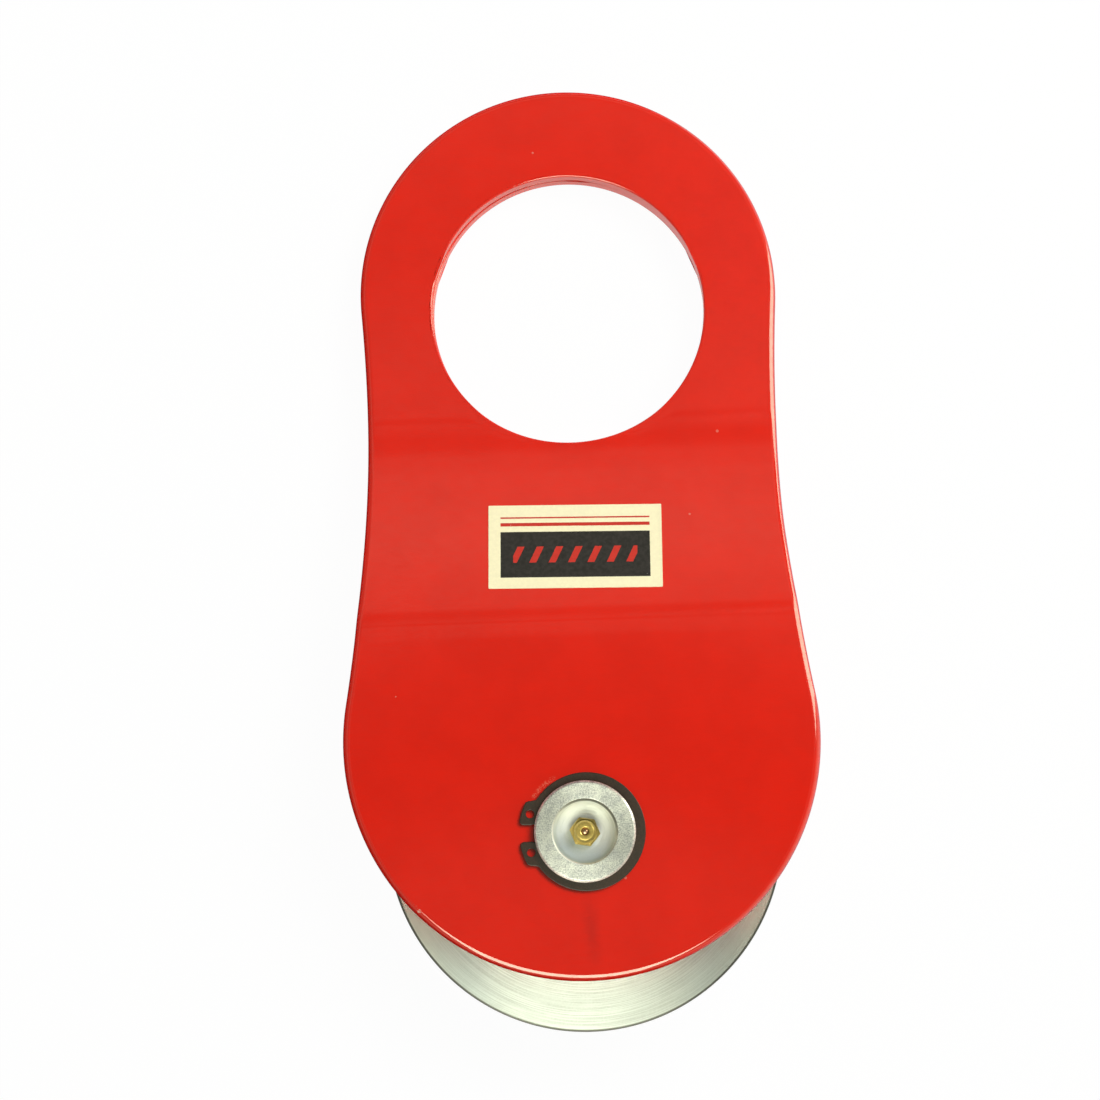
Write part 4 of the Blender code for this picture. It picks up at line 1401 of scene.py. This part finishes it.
def zinc_plate(finishes):
    """Bright zinc on the pin: mottled faces, and a bowl with turned rings, painted lighter towards its upper side, with
    a painted shadow, a painted highlight and painted shade in it.
    """
    nodes = MaterialNodes("zinc_plate")
    grain = nodes.group(plating_grain, Size=0.00042)
    marks = nodes.group(turning_marks, Spacing=0.00022, Drift=0.8)
    specks = nodes.group(dust, Size=0.003, Amount=0.5)
    x, y, _ = nodes.split(nodes.block_place())
    across = nodes.apart(x, y)
    bowl = nodes.range(across, 0.0092, 0.0095, 1, 0)
    mottle = nodes.plus(nodes.times(grain["Grain"], nodes.between(bowl, 1.0, 0.25)), nodes.times(bowl, 0.7))
    base = nodes.mix(mottle, tone(finishes.zinc, 0.50), tone(finishes.zinc, 1.28))
    # Painted light: the bowl goes from grey at its lower side to near white at its upper side
    bowl_painted_light = nodes.range(nodes.towards(x, y, (0.35, 0.94)), -0.0080, 0.0050)
    base = nodes.mix(bowl, base, nodes.mix(bowl_painted_light, (0.54, 0.61, 0.64), (0.99, 1.0, 1.0)))
    rings = nodes.times(bowl, nodes.range(marks["Bands"], 0.42, 0.66, 0, 0.32))
    base = nodes.mix(rings, base, (0.56, 0.60, 0.60))

    # Painted light in the bowl: a painted shadow on the wall at its upper right, a painted highlight on its lip at its
    # lower left, and painted shade by the nipple
    wall = nodes.band(across, 0.0089, 0.0092, 0.0096, 0.0097)
    upper_right = nodes.range(nodes.towards(x, y, (0.42, 0.91)), 0.001, 0.0075)
    base = nodes.mix(nodes.times(wall, upper_right, 0.85), base, (0.13, 0.13, 0.125))
    lower_left = nodes.range(nodes.towards(x, y, (-0.82, -0.57)), 0.003, 0.0085)
    lip = nodes.times(nodes.band(across, 0.0093, 0.0095, 0.0098, 0.0099), lower_left)
    base = nodes.mix(lip, base, WHITE)
    corner = nodes.times(nodes.range(across, 0.0042, 0.0060, 1, 0), nodes.range(y, -0.001, 0.003), 0.6)
    base = nodes.mix(corner, base, (0.22, 0.23, 0.22))
    base = nodes.mix(nodes.times(specks["Specks"], 0.6), base, (0.30, 0.29, 0.26))
    matt = nodes.times(nodes.greater(bowl, lip), nodes.range(y, 0.001, 0.006, 0.48, 0.12))
    height = nodes.plus(nodes.times(grain["Height"], 1.5), nodes.times(marks["Marks"], 0.4))
    return nodes.shaded(
        Base_Color=base,
        Metallic=nodes.math("SUBTRACT", 1.0, matt),
        Roughness=nodes.plus(nodes.between(grain["Grain"], 0.54, 0.40), nodes.times(bowl, 0.18)),
        Anisotropic=0.5,
        Anisotropic_Rotation=0.25,
        Tangent=nodes.round_the_axis(),
        Normal=nodes.bump(height, 0.5, 0.00009),
    )


def turned_steel(finishes):
    """The sheave: turned faces with a thin zinc coat, painted light towards its ends, a band of painted shade between
    its middle and its ends, and a dark rim.
    """
    nodes = MaterialNodes("turned_sheave")
    marks = nodes.group(turning_marks, Spacing=0.00030, Drift=1.6)
    grain = nodes.group(plating_grain, Size=0.0006)
    steel = finishes.turned
    x, y, _ = nodes.split(nodes.block_place())
    aside = nodes.off(x)
    base = nodes.mix(nodes.range(marks["Marks"], 0.40, 0.60), tone(steel, 0.78), steel)
    base = nodes.mix(nodes.range(marks["Bands"], 0.45, 0.75, 0, 0.35), base, tone(steel, 0.72))
    base = nodes.mix(nodes.times(grain["Grain"], 0.25), base, tone(steel, 1.15))
    # Painted light lightens the faces towards their ends, and painted shade greys a band between the middle and the
    # ends
    base = nodes.mix(nodes.range(aside, 0.036, 0.050, 0, 0.75), base, WHITE)
    painted_shade_band = nodes.times(nodes.band(aside, 0.022, 0.036, 0.042, 0.052), 0.24)
    base = nodes.mix(painted_shade_band, base, (0.52, 0.62, 0.72))
    edge = nodes.range(nodes.apart(x, y), RIM_RADIUS - 0.0009, RIM_RADIUS - 0.0005, 0, 0.9)
    base = nodes.mix(edge, base, (0.07, 0.065, 0.055))
    height = nodes.plus(marks["Marks"], nodes.times(marks["Bands"], 0.6))
    return nodes.shaded(
        Base_Color=base,
        Metallic=1.0,
        Roughness=nodes.range(marks["Bands"], 0.3, 0.7, 0.42, 0.52),
        Anisotropic=0.75,
        Anisotropic_Rotation=0.25,
        Tangent=nodes.round_the_axis(),
        Normal=nodes.bump(height, 0.45, 0.00008),
    )


def black_steel(finishes):
    """Oiled black spring steel with a few dusty specks."""
    nodes = MaterialNodes("black_spring_steel")
    grain = nodes.group(plating_grain, Size=0.0005)
    specks = nodes.group(dust, Size=0.0022, Amount=0.6)
    base = nodes.mix(grain["Grain"], tone(finishes.black, 0.6), tone(finishes.black, 1.5))
    base = nodes.mix(nodes.times(specks["Specks"], 0.6), base, (0.30, 0.25, 0.18))
    return nodes.shaded(
        Base_Color=base,
        Metallic=0.0,
        Roughness=nodes.between(grain["Grain"], 0.50, 0.34),
        Normal=nodes.bump(grain["Height"], 0.4, 0.00006),
    )


def bush_bronze(finishes):
    """Turned bronze."""
    nodes = MaterialNodes("bush_bronze")
    marks = nodes.group(turning_marks, Spacing=0.00018, Drift=0.4)
    return nodes.shaded(
        Base_Color=nodes.mix(marks["Marks"], tone(finishes.bronze, 0.75), tone(finishes.bronze, 1.15)),
        Metallic=1.0,
        Roughness=nodes.range(marks["Bands"], 0.3, 0.7, 0.30, 0.42),
        Normal=nodes.bump(marks["Marks"], 0.4, 0.00005),
    )


def nipple_brass(finishes):
    """Turned brass, a little dulled by handling, with painted shade on the collar, on the bowl's shaded side."""
    nodes = MaterialNodes("nipple_brass")
    marks = nodes.group(turning_marks, Spacing=0.0001, Drift=0.5)
    grain = nodes.group(plating_grain, Size=0.0005)
    base = nodes.mix(grain["Grain"], tone(finishes.brass, 0.82), tone(finishes.brass, 1.08))
    x, y, _ = nodes.split(nodes.block_place())
    # Painted shade: the collar is darkened on its upper side
    far_side = nodes.range(nodes.towards(x, y, (0.35, 0.94)), -0.0010, 0.0034)
    collar = nodes.range(nodes.apart(x, y), 0.0029, 0.0036)
    base = nodes.mix(nodes.times(far_side, collar, 0.75), base, (0.20, 0.15, 0.06))
    return nodes.shaded(
        Base_Color=base,
        Metallic=1.0,
        Roughness=nodes.between(grain["Grain"], 0.42, 0.30),
        Normal=nodes.bump(marks["Marks"], 0.3, 0.00002),
    )


def bright_steel(finishes):
    """Ground and polished steel, one material for the washers and the spring."""
    name = "bright_steel"
    if name in bpy.data.materials:
        return bpy.data.materials[name]
    nodes = MaterialNodes(name)
    marks = nodes.group(turning_marks, Spacing=0.00015, Drift=1.5)
    grain = nodes.group(plating_grain, Size=0.0004)
    return nodes.shaded(
        Base_Color=nodes.mix(grain["Grain"], tone(finishes.steel, 0.82), finishes.steel),
        Metallic=1.0,
        Roughness=nodes.range(marks["Bands"], 0.3, 0.7, 0.16, 0.28),
        Normal=nodes.bump(marks["Marks"], 0.25, 0.00003),
    )


def greased_steel(finishes):
    """The check ball: steel under a thin brown film of grease."""
    nodes = MaterialNodes("greased_steel")
    grain = nodes.group(plating_grain, Size=0.0005)
    greasy = [channel * left for channel, left in zip(finishes.steel, (0.85, 0.52, 0.36))]
    return nodes.shaded(
        Base_Color=nodes.mix(grain["Grain"], tone(greasy, 0.7), greasy),
        Metallic=1.0,
        Roughness=nodes.between(grain["Grain"], 0.38, 0.26),
        Normal=nodes.bump(grain["Height"], 0.2, 0.00003),
    )


# The sticker's print, in millimetres from its middle
PANEL_Y = -2.6
PANEL_HALF = (22.4, 7.4)
BARS_HALF = (18.6, 2.6)
BAR_SPACING = 2.9
BAR_HALF_WIDTH = 1.05
BAR_SLANT = 0.45
RULES = ((7.2, 0.55), (9.4, 0.25))


def printed_film(finishes, sizes):
    """The sticker: cream film with a dark panel of slanted bars, and two rules above it."""
    nodes = MaterialNodes("printed_film")
    u, v, _ = nodes.split(nodes.add("ShaderNodeUVMap", uv_map="print").outputs[0])
    x = nodes.times(nodes.plus(u, -0.5), sizes.width * 1000)
    y = nodes.times(nodes.plus(v, -0.5), sizes.height * 1000)
    place = nodes.block_place()
    ragged = nodes.times(nodes.plus(nodes.noise(place, 2500.0), -0.5), 0.12)

    def within(value, middle, half, soft=0.05):
        """1 inside a band, with a slightly ragged printed edge."""
        return nodes.range(nodes.plus(nodes.off(value, middle), ragged), half - soft, half + soft, 1, 0)

    across = within(x, 0, PANEL_HALF[0])
    panel = nodes.times(across, within(y, PANEL_Y, PANEL_HALF[1]))
    slanted = nodes.math("SUBTRACT", x, nodes.times(nodes.plus(y, -PANEL_Y), BAR_SLANT))
    bars = within(nodes.math("PINGPONG", slanted, BAR_SPACING), 0, BAR_HALF_WIDTH)
    bars = nodes.times(bars, within(y, PANEL_Y, BARS_HALF[1]), within(x, 0, BARS_HALF[0]))
    rules = nodes.times(across, nodes.greater(*(within(y, middle, half) for middle, half in RULES)))
    mottle = nodes.noise(place, 900.0, 3.0, 0.6)

    def mottled(colour, low, high, start=0.3):
        """A print colour that varies over the film."""
        return nodes.mix(nodes.range(mottle, start, 0.7), tone(colour, low), tone(colour, high))

    red = mottled(finishes.red_ink, 0.9, 1.0)
    colour = nodes.mix(panel, mottled(finishes.film, 0.95, 1.0, start=0.35), mottled(finishes.ink, 0.8, 1.6))
    colour = nodes.mix(rules, nodes.mix(bars, colour, red), red)
    specks = nodes.group(dust, Size=0.005, Amount=0.5)
    colour = nodes.mix(nodes.times(specks["Specks"], 0.6), colour, (0.75, 0.70, 0.62))
    return nodes.shaded(
        Base_Color=colour,
        Roughness=nodes.range(mottle, 0.3, 0.7, 0.30, 0.40),
        Coat_Weight=0.5,
        Coat_Roughness=0.12,
        Normal=nodes.bump(mottle, 0.15, 0.00005),
    )


# Stage


# Name, place, aim, width and height of each lamp panel, in metres
FRONT_PANEL = ("front_panel", (-0.08, -0.66, 0.95), (0, -0.08, 0.02), 0.75, 0.80)
SIDE_PANEL = ("side_panel", (0.34, 0.111, 0.28), (0.06, 0.111, 0.28), 0.198, 0.54)
KEY_PANEL = ("key_panel", (0.52, 0.48, 1.25), (0, 0, 0.02), 0.7, 0.7)

CAMERA_PLACE = (-0.0076, 0.0027, 1.0796)
FLOOR_GAP, FLOOR_HALF = 0.0003, 30
WARM = (0.96, 1.0, 0.75)

# How bright the room is at each angle from straight up, in degrees. The paint's flats and slopes mirror the first part
CEILING = (
    (0, 0.113), (5.8, 0.132), (6.8, 0.132), (7.5, 0.106), (8.2, 0.076), (8.8, 0.076), (9.5, 0.094), (10.3, 0.104),
    (11.2, 0.19), (15.2, 0.213), (16.2, 0.165), (16.9, 0.139), (18.1, 0.145), (18.9, 0.19), (20.5, 0.183),
    (24, 0.154), (26, 0.134), (30, 0.14), (32, 0.156),
)
FAR_WALL = ((36, 0.24), (43, 0.26), (46, 0.31), (50, 0.40), (56, 0.20), (66, 0.14), (90, 0.25))
NEAR_WALL = ((45, 0.36), (60, 0.62), (90, 1.0))
NEAR_SIDE = (0.55, -0.83, 0.0)


def panel_light(name, place, aim, width, height, brightness):
    """A soft panel of even brightness that faces the block."""
    light = bpy.data.lights.new(name, "AREA")
    light.shape = "RECTANGLE"
    light.size, light.size_y = width, height
    light.energy = brightness * math.pi * width * height
    lamp = placed(name, light)
    lamp.location = place
    lamp.rotation_euler = (Vector(aim) - Vector(place)).to_track_quat("-Z", "Y").to_euler()
    return lamp


def room_light(strength):
    """A room with a dark ceiling, where the camera hangs, and paler walls on the near side and the right."""
    world = bpy.data.worlds.new("room")
    bpy.context.scene.world = world
    world.use_nodes = True
    nodes = Nodes(world.node_tree)
    direction = nodes.add("ShaderNodeTexCoord").outputs["Generated"]
    _, _, up = nodes.split(direction)
    from_top = nodes.math("DIVIDE", nodes.math("ARCCOSINE", up), math.pi / 2)

    def levels(stops):
        """A grey ramp from straight up down to the horizon."""
        ramp = nodes.add("ShaderNodeValToRGB", {"Fac": from_top})
        elements = ramp.color_ramp.elements
        while len(elements) < len(stops):
            elements.new(0.5)
        for element, (degrees, level) in zip(elements, stops):
            element.position = degrees / 90
            element.color = (level, level, level, 1)
        return ramp.outputs["Color"]

    near_side = nodes.range(nodes.dot(direction, NEAR_SIDE), -0.20, 0.55)
    light = nodes.mix(near_side, levels(CEILING + FAR_WALL), levels(CEILING + NEAR_WALL))
    background = world.node_tree.nodes["Background"]
    nodes.feed(background.inputs["Color"], nodes.mix(1.0, light, WARM, blend="MULTIPLY"))
    nodes.feed(background.inputs["Strength"], strength)


def floor_material():
    """Pale floor that reads white to the camera and to reflections, and keeps a light shadow."""
    material = bpy.data.materials.new("pale_floor")
    material.use_nodes = True
    tree = material.node_tree
    tree.nodes.remove(tree.nodes["Principled BSDF"])
    nodes = Nodes(tree)
    place = nodes.add("ShaderNodeTexCoord").outputs["Object"]
    tint = nodes.mix(nodes.noise(place, 40.0, 3.0), (0.84, 0.84, 0.84), (0.88, 0.88, 0.88))
    diffuse = nodes.add("ShaderNodeBsdfDiffuse", {"Color": tint}).outputs[0]
    white = nodes.add("ShaderNodeEmission", {"Color": (*WHITE, 1), "Strength": 1.0}).outputs[0]
    path = nodes.add("ShaderNodeLightPath").outputs
    seen = nodes.math("MAXIMUM", path["Is Camera Ray"], path["Is Glossy Ray"], path["Is Transmission Ray"])
    mixed = nodes.add("ShaderNodeMixShader", {0: nodes.times(seen, 0.97), 1: diffuse, 2: white}).outputs[0]
    nodes.feed(tree.nodes["Material Output"].inputs["Surface"], mixed)
    return material


class SNATCH_OT_stage(bpy.types.Operator):
    """Sets up the floor, the lamps, the room and the camera"""

    bl_idname = "snatch.stage"
    bl_label = "Stage"

    def execute(self, context):
        scene = context.scene
        settings = scene.snatch_block.stage
        bm = bmesh.new()
        bmesh.ops.create_grid(bm, x_segments=1, y_segments=1, size=FLOOR_HALF)
        mesh = bpy.data.meshes.new("floor")
        bm.to_mesh(mesh)
        bm.free()
        mesh.materials.append(floor_material())
        floor = placed("floor", mesh)
        floor.location.z = CAD_BOX[0].z - FLOOR_GAP
        front = panel_light(*FRONT_PANEL, settings.front_light)
        side = panel_light(*SIDE_PANEL, settings.side_light)
        for lamp in (front, side):
            lamp.data.color = WARM
            lamp.visible_diffuse = False
        panel_light(*KEY_PANEL, settings.key_light).visible_glossy = False
        room_light(settings.sky)
        camera = bpy.data.cameras.new("camera")
        camera.lens = settings.lens
        camera.sensor_width = 36
        holder = placed("camera", camera)
        holder.location = CAMERA_PLACE
        holder.rotation_euler = (0, 0, settings.roll)
        scene.camera = holder
        scene.view_settings.view_transform = "Standard"
        return {"FINISHED"}


OPERATORS = (
    SNATCH_OT_cheek_plates,
    SNATCH_OT_sheave,
    SNATCH_OT_bush_and_washers,
    SNATCH_OT_axle_pin,
    SNATCH_OT_retaining_ring,
    SNATCH_OT_grease_nipple,
    SNATCH_OT_sticker,
    SNATCH_OT_stage,
)


class SNATCH_PT_pieces(bpy.types.Panel):
    """Lists the pieces of the snatch block"""

    bl_idname = "SNATCH_PT_pieces"
    bl_label = "Snatch Block"
    bl_space_type = "VIEW_3D"
    bl_region_type = "UI"
    bl_category = "Snatch Block"

    def draw(self, context):
        for operator in OPERATORS:
            self.layout.operator(operator.bl_idname)


SETTINGS = (PlateSizes, SheaveSizes, PinSizes, RingSizes, NippleSizes, StickerSizes, Finishes, StageSettings)
CLASSES = (*SETTINGS, SnatchBlockSettings, *OPERATORS, SNATCH_PT_pieces)


def register():
    for cls in CLASSES:
        bpy.utils.register_class(cls)
    bpy.types.Scene.snatch_block = PointerProperty(type=SnatchBlockSettings)


def unregister():
    del bpy.types.Scene.snatch_block
    for cls in reversed(CLASSES):
        bpy.utils.unregister_class(cls)


def main():
    register()
    for obj in [o for o in bpy.data.objects if o.type in ("LIGHT", "CAMERA")]:
        bpy.data.objects.remove(obj)
    for operator in OPERATORS:
        group, action = operator.bl_idname.split(".")
        getattr(getattr(bpy.ops, group), action)()


if __name__ == "__main__":
    main()
